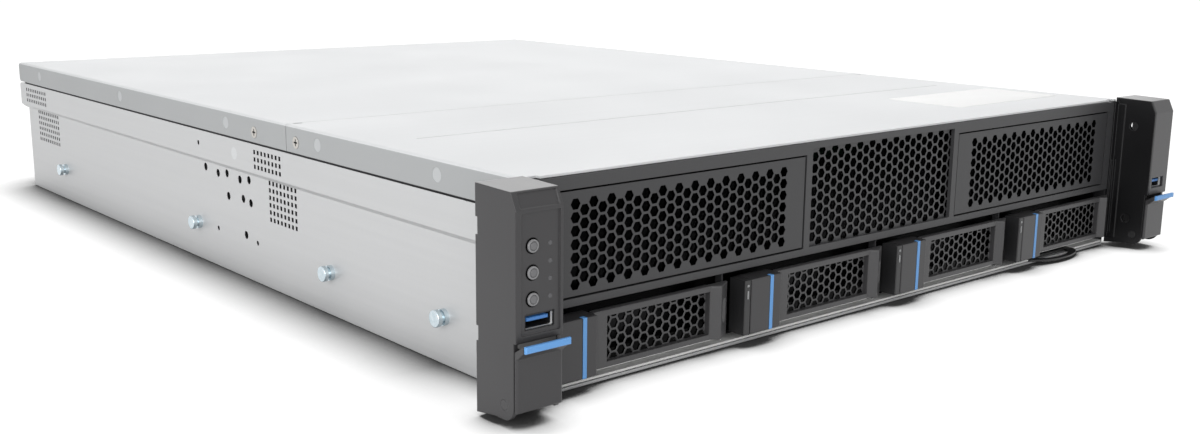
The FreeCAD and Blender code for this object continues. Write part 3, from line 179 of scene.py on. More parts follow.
# %% [markdown]
# A finish is such a tree round a Principled shader. It adds what most finishes need: the coordinates of
# the surface, noise at a scale, a mix of two colours, the distance from some points, and a fine relief.

# %% The finish maker
FAR = 10.0
BEVEL_SAMPLES = 6


class Finish(Network):
    """The network of one material, round a Principled shader."""

    def __init__(self, name):
        self.material = bpy.data.materials.new(name)
        self.material.use_nodes = True
        super().__init__(self.material.node_tree)
        self.surface = self.tree.nodes["Principled BSDF"]

    def set(self, **inputs):
        for key, value in inputs.items():
            self.fill(self.surface.inputs[key.replace("_", " ")], value)

    def here(self):
        """A point of the surface in the object's own coordinates."""
        return self.node("ShaderNodeTexCoord", {}, {}, "Object")

    def axis(self, name):
        """One coordinate of the surface: X, Y or Z."""
        return self.node("ShaderNodeSeparateXYZ", {}, {"Vector": self.here()}, name)

    def stretched(self, scale):
        """The object's own coordinates, stretched by a scale along each axis."""
        return self.node("ShaderNodeMapping", {}, {"Vector": self.here(), "Scale": scale})

    def noise(self, scale, detail=2.0):
        spread = (scale,) * 3 if isinstance(scale, (int, float)) else scale
        return self.node("ShaderNodeTexNoise", {}, {"Vector": self.stretched(spread), "Scale": 1.0,
                                                    "Detail": detail})

    def mix(self, amount, first, second):
        return self.node("ShaderNodeMix", {"data_type": "RGBA"},
                         {"Factor_Float": amount, "A_Color": first, "B_Color": second}, "Result_Color")

    def near(self, points, plane):
        """How far the surface is from the nearest of some points, both laid flat on a plane."""
        flat = self.node("ShaderNodeVectorMath", {"operation": "MULTIPLY"}, {0: self.here(), 1: plane})
        nearest = FAR
        for point in points:
            centre = Vector(point) * Vector(plane)
            gap = self.node("ShaderNodeVectorMath", {"operation": "DISTANCE"}, {0: flat, 1: centre}, "Value")
            nearest = gap.at_most(nearest)
        return nearest

    def marked(self, colour, marks):
        """A colour that gives way to others where their masks are one."""
        for mask_of, other in marks:
            colour = self.mix(mask_of(self), colour, other)
        return colour

    def relief(self, height, depth, edge=0.0):
        """A fine relief, on edges that catch the light as if they were rounded."""
        inputs = {"Strength": 1.0, "Distance": depth, "Height": height}
        if edge:
            inputs["Normal"] = self.node("ShaderNodeBevel", {"samples": BEVEL_SAMPLES}, {"Radius": edge})
        self.set(Normal=self.node("ShaderNodeBump", {}, inputs))


def dress(names, finish):
    """Gives a finish to solids of the frame."""
    for name in names:
        for slot in nodes[name].material_slots:
            slot.material = finish.material
    print(finish.material.name, "on", len(names), "solids")


print("finish maker ready")


# %% [markdown]
# ## Zinc-coated sheet
# The case is folded from hot-dip coated steel. It is not a mirror: the rolling leaves long faint streaks,
# and the coating dulls in soft patches. Noise stretched along the sheet makes the streaks, and a broad
# noise makes the patches. Both touch the colour a little and the roughness more. Spot welds leave small
# pale discs on the covers' flanges and on the wall, so a measured distance from each weld gives a mask
# for them.

# %% Zinc sheet
GRAIN_ALONG_CASE = (420.0, 5.0, 420.0)
GRAIN_ACROSS_CASE = (5.0, 420.0, 420.0)
WELD_RADIUS = 3.2 * MM
WELDED_SHARE = 0.22
ALONG_SIDE = (0, 1, 1)
FLANGE_WELDS = [place(0, back, 80.95) for back in (58.0, 157.0, 254.0, 400.0, 547.0)]
WALL_WELDS = [place(0, 245.6, 65.9)]
WELD_GREY = (0.86, 0.89, 0.91)
# Painted shade: near black on the sides of the wall's holes, in the gap under a cover and in the drive cage.
SHADE_GREY = (0.03, 0.03, 0.032)
# Painted shade: the covers' flanges are a duller grey than their tops.
FLANGE_SHADE_GREY = (0.385, 0.395, 0.4)
PATCH_SCALE = 14.0
SPECKLE_SCALE = 900.0
SHEET_RELIEF = 0.012 * MM
FOLD_EDGE = 0.4 * MM
SKIN = 0.2 * MM
LOW_WALL = 217.3 * MM
HIGH_WALL = 220.0 * MM
JOGGLE_LOW = 56.0 * MM
JOGGLE_SLOPE = 2.7 / 2.4
CASE_FLOOR = 3.0 * MM
COVER_BEND = 1.0 * MM
WALL_END = 582.0


def welds(finish, places):
    return WELDED_SHARE * finish.near(places, ALONG_SIDE).under(WELD_RADIUS)


def wall_inside_shade(finish):
    """One inside the wall's outer skin, where shade is painted: the sides of its holes and the gap under a
    cover.
    """
    up = finish.axis("Z")
    bulge = (JOGGLE_SLOPE * (up - JOGGLE_LOW)).or_more(0.0).at_most(HIGH_WALL - LOW_WALL)
    depth = LOW_WALL - SKIN + bulge - finish.axis("X").size()
    return depth.over(0.0) * up.over(CASE_FLOOR) * finish.axis("Y").under(place(0, WALL_END, 0).y)


# The folded flange of a cover, which is painted a duller grey as shade.
def flange(finish):
    cover_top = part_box("top_cover_front")[1].z
    outside = finish.axis("X").size().over(HIGH_WALL - COVER_BEND)
    return outside * finish.axis("Z").under(cover_top - COVER_BEND)


def zinc(name, pale, dull, grain, roughness, metal, marks=()):
    finish = Finish(name)
    streak = finish.noise(grain, 3.0)
    patch = finish.noise(PATCH_SCALE, 3.0)
    speckle = finish.noise(SPECKLE_SCALE, 1.0)
    colour = finish.mix(0.5 * streak + 0.35 * patch + 0.15 * speckle, dull, pale)
    finish.set(Base_Color=finish.marked(colour, marks), Metallic=metal,
               Roughness=roughness - 0.1 + 0.2 * patch + 0.08 * (streak - 0.5))
    finish.relief(streak + 0.5 * speckle, SHEET_RELIEF, FOLD_EDGE)
    return finish


INNER_PALE = (0.62, 0.625, 0.63)
INNER_DULL = (0.5, 0.505, 0.51)
# Painted light: the drive cage and the sills get a paler zinc than the case, with no metal, so the strip
# under the levers looks lit.
CAGE_LIT_PALE = (0.92, 0.92, 0.91)
CAGE_LIT_DULL = (0.84, 0.84, 0.83)
zinc_case = zinc("zinc_case", (0.61, 0.615, 0.62), (0.52, 0.525, 0.53), GRAIN_ALONG_CASE, 0.5, 0.45,
                 [(lambda finish: welds(finish, WALL_WELDS), WELD_GREY), (wall_inside_shade, SHADE_GREY)])
zinc_cover = zinc("zinc_cover", (0.72, 0.73, 0.74), (0.64, 0.65, 0.66), GRAIN_ACROSS_CASE, 0.5, 0.15,
                  [(flange, FLANGE_SHADE_GREY), (lambda finish: welds(finish, FLANGE_WELDS), WELD_GREY)])
# Painted shade: the drive cage is near black above the case floor, where it lies inside the case.
zinc_cage = zinc("zinc_cage", CAGE_LIT_PALE, CAGE_LIT_DULL, GRAIN_ACROSS_CASE, 0.7, 0.0,
                 [(lambda finish: finish.axis("Z").over(CASE_FLOOR), SHADE_GREY)])
zinc_inner = zinc("zinc_inner", INNER_PALE, INNER_DULL, GRAIN_ACROSS_CASE, 0.5, 0.6)
dress(["chassis_base"], zinc_case)
dress(["drive_cage"], zinc_cage)
dress(["top_cover_front", "top_cover_rear"], zinc_cover)
dress(["rear_panel", "slot_covers"], zinc_inner)


# %% [markdown]
# ## Black powder coat
# The front frame and the two bay blanks are steel under a fine matt powder coat. Close up it is a field
# of tiny soft bumps that breaks every reflection, so a fine noise goes into the relief and only a little
# into the colour. The sides of the holes are painted shade: behind the face the colour drops to black and
# the sheen goes, as a black metal reflects next to nothing.

# %% Powder coat
SHADE_BLACK = (0.005, 0.005, 0.005)
GRIT_SCALE = 2600.0
CLOUD_SCALE = 9.0
GRIT_RELIEF = 0.03 * MM
FRAME_DEPTH = 2.15
BLANK_DEPTH = 0.45


def behind(depth):
    """A mask for what lies further back than a depth from the front face, such as the sides of the holes,
    where shade is painted.
    """
    return lambda finish: finish.axis("Y").over(place(0, depth, 0).y)


def powder(name, dark, light, roughness, depth):
    finish = Finish(name)
    grit = finish.noise(GRIT_SCALE, 2.0)
    cloud = finish.noise(CLOUD_SCALE, 2.0)
    colour = finish.mix(0.6 * grit + 0.4 * cloud, dark, light)
    # Painted shade: black without sheen behind the face.
    holes = [(behind(depth), SHADE_BLACK)]
    finish.set(Base_Color=finish.marked(colour, holes), Metallic=behind(depth)(finish),
               Roughness=roughness + 0.08 * (cloud - 0.5))
    finish.relief(grit, GRIT_RELIEF)
    return finish


frame_coat = powder("frame_coat", (0.036, 0.036, 0.038), (0.05, 0.05, 0.052), 0.44, FRAME_DEPTH)
blank_coat = powder("blank_coat", (0.028, 0.028, 0.03), (0.044, 0.044, 0.046), 0.44, BLANK_DEPTH)
dress(["front_frame"], frame_coat)
dress(["left_bay_blank", "right_bay_blank"], blank_coat)


# %% [markdown]
# ## Mouldings
# Ears, latches and trays are moulded in black plastic. The mould was spark-eroded, which leaves a
# leathery matt skin with grains a little under half a millimetre across, and the corners come out
# slightly rounded and shinier. Inner pieces, such as carriers and fans, come from a smoother mould, and
# their deeper black is partly painted shade, as they lie inside the case. The sides of the levers' hex
# holes and the carriers deeper than the front face are painted black as shade, without sheen.

# %% Moulded plastic
GRAINS_PER_METRE = 2200.0
TONE_SCALE = 25.0
GRAIN_RELIEF = 0.02 * MM


def moulding(name, dark, light, roughness, edge, marks=(), sheenless=None):
    finish = Finish(name)
    skin = finish.node("ShaderNodeTexVoronoi", {"feature": "SMOOTH_F1"},
                       {"Vector": finish.stretched((GRAINS_PER_METRE,) * 3), "Scale": 1.0})
    cloud = finish.noise(TONE_SCALE, 2.0)
    finish.set(Base_Color=finish.marked(finish.mix(cloud, dark, light), marks),
               Roughness=roughness + 0.1 * (cloud - 0.5))
    if sheenless:
        finish.set(Metallic=sheenless(finish))
    finish.relief(skin, GRAIN_RELIEF, edge)
    return finish


print("mouldings ready")


# %% Ears, trays and lights
LEVER_DEPTH = -1.5
POST_DEPTH = 2.0
EAR_INSIDE = 221.6 * MM
EAR_SHADE = 0.5
MATT = 0.34
BROAD_EDGE = 0.7 * MM
SLIM_EDGE = 0.4 * MM
FINE_EDGE = 0.2 * MM
MOULD_DARK = (0.032, 0.031, 0.033)
MOULD_LIGHT = (0.046, 0.045, 0.047)
SHADED_BLACK = (0.012, 0.012, 0.013)


def ear_inside(finish):
    """One on the side of the right ear that faces the case, which lies in its own shade."""
    return finish.axis("X").under(EAR_INSIDE)


black_moulding = moulding("black_moulding", (0.028, 0.027, 0.029), (0.04, 0.039, 0.041), MATT, BROAD_EDGE)
# Painted shade: the sides of a lever's hex holes are black without sheen.
lever_moulding = moulding("lever_moulding", (0.044, 0.043, 0.045), (0.06, 0.059, 0.061), MATT, BROAD_EDGE,
                          [(behind(LEVER_DEPTH), SHADE_BLACK)], behind(LEVER_DEPTH))
right_ear = moulding("right_ear", MOULD_DARK, MOULD_LIGHT, MATT, BROAD_EDGE,
                     [(ear_inside, SHADED_BLACK)], lambda finish: EAR_SHADE * ear_inside(finish))
# Painted shade: a carrier is black without sheen deeper than the front face, and its deeper black is shade
# too.
carrier_black = moulding("carrier_black", (0.016, 0.016, 0.017), (0.024, 0.024, 0.025), 0.36, SLIM_EDGE,
                         [(behind(POST_DEPTH), SHADE_BLACK)], behind(POST_DEPTH))
pin_black = moulding("pin_black", MOULD_DARK, MOULD_LIGHT, MATT, 0.3 * MM,
                     [(lambda finish: finish.axis("X").over(0.0), SHADED_BLACK)])
# For the fans and the fan wall inside the case, this deeper black is partly painted shade.
black_smooth = moulding("black_smooth", (0.01, 0.01, 0.011), (0.016, 0.016, 0.017), 0.36, SLIM_EDGE)
blue_moulding = moulding("blue_moulding", (0.11, 0.33, 0.72), (0.15, 0.39, 0.78), MATT, SLIM_EDGE)
dim_light = moulding("dim_light", (0.075, 0.075, 0.08), (0.1, 0.1, 0.105), 0.25, FINE_EDGE)
pale_lens = moulding("pale_lens", (0.26, 0.265, 0.27), (0.34, 0.345, 0.35), 0.2, FINE_EDGE)
trays = range(1, 5)
dress(["ear_left", "latch_lever_left", "latch_lever_right"], black_moulding)
dress(["ear_right"], right_ear)
dress([f"release_button_{tray}" for tray in trays], black_moulding)
dress(["latch_pins"], pin_black)
dress([f"carrier_{tray}" for tray in trays], carrier_black)
dress([f"tray_lever_{tray}" for tray in trays], lever_moulding)
dress([f"fan_rotor_{fan}" for fan in trays], black_smooth)
dress(["info_tag", "fan_housings", "fan_wall"], black_smooth)
dress(["latch_tab_left", "latch_tab_right", "power_latch_1", "power_latch_2"]
      + [f"release_stripe_{tray}" for tray in trays], blue_moulding)
dress(["status_lights"], dim_light)


# %% [markdown]
# ## Bright fittings and boards
# The rail studs are plated with bright zinc, which is shinier than the sheet and has a slight blue tint.
# The cover screws are nickel, with shade painted black in their slots. Boards are laminate under a dark
# green lacquer, with paler runs beneath it.

# %% Fittings and boards
SWIRL_SCALE = 600.0
SWIRL_RELIEF = 0.008 * MM
MOTTLE_SCALE = 60.0
FINE_GRAIN = 1500.0
FINE_RELIEF = 0.01 * MM
RUNS_PER_METRE = 160.0
LACQUER_GRAIN = 300.0
# Black plastic, and also black for painted shade in the screw slots and the socket shells.
BLACK_PLASTIC_AND_SHADE = (0.016, 0.016, 0.017)
WORN_BLACK = (0.024, 0.024, 0.025)


def plated(name, bright, tint, roughness):
    finish = Finish(name)
    swirl = finish.noise(SWIRL_SCALE, 2.0)
    finish.set(Base_Color=finish.mix(swirl, bright, tint), Metallic=1.0,
               Roughness=roughness + 0.12 * (swirl - 0.5))
    finish.relief(swirl, SWIRL_RELIEF)
    return finish


def two_part(name, mask_of, first, second, metals, roughness):
    """A finish that changes from one colour and metal to another where a mask is one."""
    finish = Finish(name)
    cloud = finish.noise(MOTTLE_SCALE, 3.0)
    mask = mask_of(finish)
    colour = finish.mix(mask, finish.mix(cloud, *first), finish.mix(cloud, *second))
    finish.set(Base_Color=colour, Metallic=metals[0] + (metals[1] - metals[0]) * mask,
               Roughness=roughness + 0.15 * (cloud - 0.5))
    finish.relief(finish.noise(FINE_GRAIN), FINE_RELIEF)
    return finish


def laminate(name, first, second, run):
    finish = Finish(name)
    runs = finish.node("ShaderNodeTexBrick", {"offset": 0.5},
                       {"Vector": finish.stretched((RUNS_PER_METRE,) * 3), "Scale": 1.0, "Mortar Size": 0.05,
                        "Color1": first, "Color2": second, "Mortar": run})
    finish.set(Base_Color=runs, Roughness=0.35 + 0.2 * finish.noise(LACQUER_GRAIN))
    return finish


def head_slot(finish):
    """One in the cross-shaped slots of the cover screws, which lie under their faces and are painted as
    shade.
    """
    return finish.axis("X").size().under(HIGH_WALL - SKIN)


screw_nickel = two_part("screw_nickel", head_slot, ((0.6, 0.58, 0.54), (0.5, 0.48, 0.45)),
                        (SHADE_BLACK, BLACK_PLASTIC_AND_SHADE), (1.0, 1.0), 0.3)
bright_zinc = plated("bright_zinc", (0.72, 0.77, 0.8), (0.46, 0.58, 0.64), 0.22)
contact_gold = plated("contact_gold", (0.9, 0.68, 0.28), (0.8, 0.58, 0.22), 0.25)
fin_metal = plated("fin_metal", (0.8, 0.81, 0.83), (0.7, 0.71, 0.73), 0.35)
green_board = laminate("green_board", (0.016, 0.09, 0.045), (0.02, 0.1, 0.05), (0.035, 0.16, 0.08))
dark_board = laminate("dark_board", (0.006, 0.02, 0.012), (0.008, 0.024, 0.014), (0.014, 0.04, 0.024))
dress(["case_screws"], screw_nickel)
dress(["rail_studs"], bright_zinc)
dress(["heat_sinks"], fin_metal)
dress(["motherboard", "memory_modules"], green_board)
dress(["drive_backplane"], dark_board)


# %% [markdown]
# ## Finishes that change along one solid
# A disk drive is a black casting under a bright lid. A power unit is a zinc shell with a black handle
# behind it and a black inlet in it, and a port is a bright shell round a dark socket. Each is one solid
# here, so its finish asks where on the solid it is: above a height, behind a face, or inside a box.

# %% Drives, power units and ports
LID_DROP = 0.8 * MM
HANDLE_GAP = 0.3 * MM
SOCKET_DROP = 0.6 * MM
INLET_LOW = Vector((-14.0, -27.0, -10.5)) * MM
INLET_HIGH = Vector((14.0, -0.5, 10.5)) * MM
INLET_ACROSS = 55.5 * MM
HANDLE_REACH = 20.0 * MM


def lid_mask(finish):
    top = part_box("drive_1")[1].z
    return finish.axis("Z").over(top - LID_DROP)


def box_mask(finish, low, high):
    mask = 1.0
    for name, least, most in zip("XYZ", low, high):
        along = finish.axis(name)
        mask = along.over(least) * along.under(most) * mask
    return mask


def supply_mask(finish):
    mask = 0.0
    for name in ("power_unit_1", "power_unit_2"):
        low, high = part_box(name)
        face = high.y - HANDLE_REACH
        middle = Vector((low.x + INLET_ACROSS, face, (low.z + high.z) / 2))
        mask = box_mask(finish, middle + INLET_LOW, middle + INLET_HIGH).or_more(mask)
    return finish.axis("Y").over(face + HANDLE_GAP).or_more(mask)


def port_mask(finish):
    return finish.axis("Y").under(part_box("rear_panel")[1].y - SOCKET_DROP)


drive_shell = two_part("drive_shell", lid_mask, ((0.012, 0.012, 0.013), (0.02, 0.02, 0.021)),
                       ((0.66, 0.67, 0.68), (0.56, 0.57, 0.58)), (0.7, 1.0), 0.42)
supply_shell = two_part("supply_shell", supply_mask, (INNER_PALE, INNER_DULL),
                        (BLACK_PLASTIC_AND_SHADE, WORN_BLACK), (0.6, 0.0), 0.45)
port_shell = two_part("port_shell", port_mask, ((0.74, 0.74, 0.74), (0.64, 0.64, 0.64)),
                      (BLACK_PLASTIC_AND_SHADE, WORN_BLACK), (1.0, 0.0), 0.34)
dress([f"drive_{tray}" for tray in trays], drive_shell)
dress(["power_unit_1", "power_unit_2"], supply_shell)
dress(["io_ports"], port_shell)


# %% [markdown]
# ## Modelling by hand
# The small fittings start as a box or a cylinder and are then worked on in edit mode. An operator acts on
# all that is selected, so every step first picks its faces or edges by where they are and which way they
# point.

# %% Starting a piece
SMOOTH_ANGLE = math.radians(35)


def put_down():
    """Leaves edit mode with nothing selected."""
    if bpy.context.mode != "OBJECT":
        bpy.ops.object.mode_set(mode="OBJECT")
    bpy.ops.object.select_all(action="DESELECT")


def settle(piece, name):
    """Names a new primitive and puts its place and size in its mesh."""
    piece.name = name
    bpy.ops.object.transform_apply(location=True, rotation=True, scale=True)
    return piece


def block(name, low, high):
    """A box between two corners."""
    put_down()
    bpy.ops.mesh.primitive_cube_add(size=1.0, location=(low + high) / 2)
    piece = bpy.context.object
    piece.scale = high - low
    return settle(piece, name)


def disc(name, centre, radius, depth, turn, sides=48):
    """A cylinder about a centre, upright unless it is turned about the X axis."""
    put_down()
    bpy.ops.mesh.primitive_cylinder_add(vertices=sides, radius=radius, depth=depth, location=centre,
                                        rotation=(turn, 0, 0))
    return settle(bpy.context.object, name)


print("primitives ready")


# %% Working on a piece
STRAIGHT = 0.99


def pick(piece, kind, test):
    """In edit mode, selects the faces or edges whose middle and direction pass a test."""
    if piece.mode != "EDIT":
        bpy.ops.object.mode_set(mode="EDIT")
    bpy.ops.mesh.select_mode(type=kind)
    bpy.ops.mesh.select_all(action="DESELECT")
    mesh = bmesh.from_edit_mesh(piece.data)
    if kind == "FACE":
        chosen = [f for f in mesh.faces if test(f.calc_center_median(), f.normal)]
    else:
        ends = [(e, e.verts[0].co, e.verts[1].co) for e in mesh.edges]
        chosen = [e for e, start, end in ends if test((start + end) / 2, (end - start).normalized())]
    for item in chosen:
        item.select_set(True)
    bmesh.update_edit_mesh(piece.data)


def pull(shift):
    """Extrudes what is selected along a shift."""
    bpy.ops.mesh.extrude_region_move(TRANSFORM_OT_translate={"value": shift})


def soften(offset, segments=3):
    """Rounds the selected edges."""
    bpy.ops.mesh.bevel(offset=offset, segments=segments, affect="EDGES")


print("edit mode helpers ready")


# %% Copying and finishing
def alone(piece):
    """Leaves edit mode with one piece selected."""
    put_down()
    piece.select_set(True)
    bpy.context.view_layer.objects.active = piece


def copied(piece, name, shift):
    """A copy of a piece with its own mesh, moved by a shift."""
    alone(piece)
    bpy.ops.object.duplicate()
    bpy.ops.transform.translate(value=shift)
    return settle(bpy.context.object, name)


def joined(pieces):
    """Several meshes made into the first of them."""
    alone(pieces[0])
    for piece in pieces[1:]:
        piece.select_set(True)
    bpy.ops.object.join()
    return pieces[0]


def row_of(piece, count, step):
    """Repeats a piece along a line inside its own mesh."""
    alone(piece)
    line = piece.modifiers.new("row", "ARRAY")
    line.count = count
    line.use_relative_offset = False
    line.use_constant_offset = True
    line.constant_offset_displace = step
    bpy.ops.object.modifier_apply(modifier=line.name)


def finished(piece, finish, body):
    """Smooths a piece, gives it its finish and fixes it to a body."""
    alone(piece)
    bpy.ops.object.shade_smooth_by_angle(angle=SMOOTH_ANGLE)
    piece.data.materials.clear()
    piece.data.materials.append(finish.material)
    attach(piece, body)
    print(piece.name, "rides on", body, "with", len(piece.data.polygons), "faces")


print("modelling helpers ready")


# %% [markdown]
# ## Push buttons
# The left ear carries three round push buttons. Each is a short grey cap with a soft rim and a ring
# pressed into its face, on a collar behind the panel that keeps it from falling out. The rim is painted
# paler than the face as a highlight, and all behind the panel is painted black as shade. A cylinder has
# all of that in it: the front rim is bevelled, the face is inset for the ring, and the back is widened and
# pulled out as the collar.

# %% Button caps
COLLAR_STEP = 1.15 * MM
COLLAR = 1.0 * MM
RIM = 0.35 * MM
RING = 0.14 * MM
FACE_EDGE = 0.3 * MM
RING_GAP = 0.15 * MM
HAIR = 0.01 * MM
BUTTONS = ("power_button", "locate_button", "reset_button")
FACE_RADIUS = 1.75 * MM
CAP_SHADE = -22.8
FACING_FRONT = (1, 0, 1)


def middle_of(name):
    low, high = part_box(name)
    return (low + high) / 2


def button_face(finish):
    return finish.near([middle_of(name) for name in BUTTONS], FACING_FRONT).under(FACE_RADIUS)


# Painted highlight: the rim is paler than the face. Painted shade: all behind the panel is black without
# sheen.
cap_grey = moulding("cap_grey", (0.19, 0.19, 0.195), (0.25, 0.25, 0.255), 0.36, FINE_EDGE,
                    [(button_face, (0.15, 0.15, 0.155)), (behind(CAP_SHADE), SHADE_BLACK)], behind(CAP_SHADE))
low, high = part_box(BUTTONS[0])
centre = middle_of(BUTTONS[0])
collar_radius = (high.x - low.x) / 2
cap_radius = collar_radius - COLLAR_STEP
cap_back = high.y - COLLAR
cap = disc("power_button_cap", Vector((centre.x, (low.y + cap_back) / 2, centre.z)), cap_radius,
           cap_back - low.y, math.pi / 2)
pick(cap, "EDGE", lambda at, way: at.y < low.y + HAIR)
soften(RIM, 4)
pick(cap, "FACE", lambda at, way: way.y < -STRAIGHT and (at - centre).xz.length < HAIR)
for thickness, depth in ((FACE_EDGE, 0.0), (RING, -2 * RING), (RING_GAP, 0.0), (RING, 2 * RING)):
    bpy.ops.mesh.inset(thickness=thickness, depth=depth)
pick(cap, "FACE", lambda at, way: way.y > STRAIGHT)
pull((0, 0, 0))
widen = collar_radius / cap_radius
bpy.ops.transform.resize(value=(widen, 1, widen), center_override=(centre.x, cap_back, centre.z))
pull((0, COLLAR, 0))
caps = [cap] + [copied(cap, name + "_cap", middle_of(name) - centre) for name in BUTTONS[1:]]
for piece, name in zip(caps, BUTTONS):
    finished(piece, cap_grey, name)
    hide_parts(name)


# %% [markdown]
# ## Front sockets
# Each ear has one flat socket for a plug: a tube of thin folded steel with rounded corners, open to the
# front, with a blue tongue in its upper half and four gilded contacts under the tongue. The shell starts
# as a box. Its long edges are rounded, its front is inset by the thickness of the steel, and the middle
# is pushed back, which leaves a tube with a closed end.

# %% Socket shells and tongues
SHELL = 0.35 * MM
SHELL_SETBACK = 0.5 * MM
LIT_DEPTH = 1.8 * MM
SHELL_ROUND = 0.8 * MM
TONGUE = Vector((9.9, 0.0, 1.4)) * MM
TONGUE_DROP = 1.5 * MM
TONGUE_SETBACK = 0.9 * MM
CONTACT = Vector((1.0, 7.0, 0.15)) * MM
CONTACT_PITCH = 2.3 * MM
CONTACT_SETBACK = 0.9 * MM
CONTACTS = 4
TONGUE_ROUND = 0.3 * MM
CONTACT_ROUND = 0.06 * MM


def usb_pieces(side):
    """The shell, tongue and contacts of one socket, at its place in the ear."""
    node = f"usb_{side}"
    low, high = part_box(node)
    low.y += SHELL_SETBACK
    middle = (low + high) / 2
    shell = block(f"{node}_shell", low, high)
    pick(shell, "EDGE", lambda at, way: abs(way.y) > STRAIGHT)
    soften(SHELL_ROUND, 4)
    pick(shell, "FACE", lambda at, way: way.y < -STRAIGHT)
    bpy.ops.mesh.inset(thickness=SHELL)
    pull((0, high.y - low.y - SHELL, 0))
    finished(shell, usb_metal, "case")
    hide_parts(node)

    tongue_high = Vector((middle.x + TONGUE.x / 2, high.y - SHELL, high.z - TONGUE_DROP))
    tongue_low = Vector((middle.x - TONGUE.x / 2, low.y + TONGUE_SETBACK, tongue_high.z - TONGUE.z))
    tongue = block(f"{node}_tongue", tongue_low, tongue_high)
    pick(tongue, "EDGE", lambda at, way: at.y < tongue_low.y + HAIR)
    soften(TONGUE_ROUND)
    finished(tongue, deep_blue, "case")

    half_row = (CONTACTS - 1) / 2 * CONTACT_PITCH + CONTACT.x / 2
    first = Vector((middle.x - half_row, tongue_low.y + CONTACT_SETBACK, tongue_low.z - CONTACT.z))
    contacts = block(f"{node}_contacts", first, first + CONTACT)
    pick(contacts, "EDGE", lambda at, way: at.z < first.z + HAIR)
    soften(CONTACT_ROUND, 2)
    row_of(contacts, CONTACTS, (CONTACT_PITCH, 0, 0))
    finished(contacts, contact_gold, "case")


usb_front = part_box("usb_left")[0].y


def usb_shade(finish):
    """One on the shell's front edge and deep inside it, where shade is painted black, so only the mouth of
    the tube shines.
    """
    back = finish.axis("Y")
    return back.over(usb_front + LIT_DEPTH).or_more(back.under(usb_front + SHELL_SETBACK + SKIN))


# Painted shade: the shell's front edge and its inside beyond the mouth are black.
usb_metal = two_part("usb_metal", usb_shade, ((0.78, 0.78, 0.77), (0.68, 0.68, 0.67)),
                     (BLACK_PLASTIC_AND_SHADE, (0.03, 0.03, 0.032)), (0.2, 0.3), 0.4)
deep_blue = moulding("deep_blue", (0.05, 0.19, 0.5), (0.07, 0.24, 0.6), 0.36, FINE_EDGE)
usb_pieces("left")
usb_pieces("right")


# %% [markdown]
# ## Rear connectors
# The video socket's nose holds a blue insert with three rows of five holes, between two six-sided posts
# that its plug is screwed to. Each network socket has a row of eight gilded springs on its floor. The
# insert's face is cut into fifteen parts by subdividing its edges, and each part is inset by itself and
# pushed in.

# %% Video socket
VIDEO_SIDE = 15.0 * MM
VIDEO_UP = 6.0 * MM
INSERT_HALF = Vector((8.2, 0.0, 2.8)) * MM
INSERT_PROUD = 0.4 * MM
INSERT_SUNK = 0.1 * MM
HOLE_WALL = 0.45 * MM
HOLE_DEPTH = 0.35 * MM
POST_GAP = 12.6 * MM
POST_RADIUS = 2.5 * MM
POST_REACH = 4.5 * MM
POST_WALL = 0.7 * MM
POST_HOLE = 2.5 * MM
POST_ROUND = 0.12 * MM
HOLE_TAPER = 0.1 * MM
ports_low, ports_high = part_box("io_ports")
video = Vector((ports_high.x - VIDEO_SIDE, ports_high.y, ports_low.z + VIDEO_UP))


def insert_hole(finish):
    """One in the holes of the insert, under its face, where shade is painted black."""
    return finish.axis("Y").under(ports_high.y + INSERT_PROUD - SKIN)


video_blue = moulding("video_blue", (0.04, 0.13, 0.42), (0.05, 0.16, 0.48), 0.4, FINE_EDGE / 2,
                      [(insert_hole, SHADE_BLACK)])
insert_low = video - INSERT_HALF - Vector((0, INSERT_SUNK, 0))
insert = block("video_insert", insert_low, video + INSERT_HALF + Vector((0, INSERT_PROUD, 0)))
for along, cuts in (("x", 4), ("z", 2)):
    pick(insert, "EDGE", lambda at, way: at.y > ports_high.y + HAIR and abs(getattr(way, along)) > STRAIGHT)
    bpy.ops.mesh.subdivide(number_cuts=cuts)
pick(insert, "FACE", lambda at, way: way.y > STRAIGHT)
bpy.ops.mesh.inset(thickness=HOLE_WALL, use_individual=True)
bpy.ops.mesh.inset(thickness=HAIR, depth=-HOLE_DEPTH, use_individual=True)
finished(insert, video_blue, "case")

panel_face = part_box("rear_panel")[1].y
post_middle = Vector((video.x - POST_GAP, panel_face + POST_REACH / 2, video.z))
post = disc("video_posts", post_middle, POST_RADIUS, POST_REACH, math.pi / 2, 6)
pick(post, "FACE", lambda at, way: way.y > STRAIGHT)
bpy.ops.mesh.inset(thickness=POST_WALL)
bpy.ops.mesh.inset(thickness=HOLE_TAPER, depth=-POST_HOLE)
pick(post, "EDGE", lambda at, way: at.y > panel_face + POST_REACH - HAIR)
soften(POST_ROUND, 2)
right_post = copied(post, "video_post_right", (2 * POST_GAP, 0, 0))
finished(joined([post, right_post]), bright_zinc, "case")


# %% Network springs
SPRING = Vector((0.5, 9.0, 0.4)) * MM
SPRING_PITCH = 1.02 * MM
SPRING_SETBACK = 11.5 * MM
SPRINGS = 8
SPRING_ROUND = 0.1 * MM
JACK_ACROSS = (8.0 * MM, 26.0 * MM, 58.0 * MM)
JACK_FLOOR = 2.7 * MM
half_row = (SPRINGS - 1) / 2 * SPRING_PITCH + SPRING.x / 2
first = ports_low + Vector((JACK_ACROSS[0] - half_row, 0, JACK_FLOOR))
first.y = panel_face - SPRING_SETBACK
springs = block("network_springs_1", first, first + SPRING)
pick(springs, "EDGE", lambda at, way: at.z > first.z + SPRING.z - HAIR)
soften(SPRING_ROUND, 2)
row_of(springs, SPRINGS, (SPRING_PITCH, 0, 0))
rows = [springs] + [copied(springs, f"network_springs_{number}", (across - JACK_ACROSS[0], 0, 0))
                    for number, across in enumerate(JACK_ACROSS[1:], 2)]
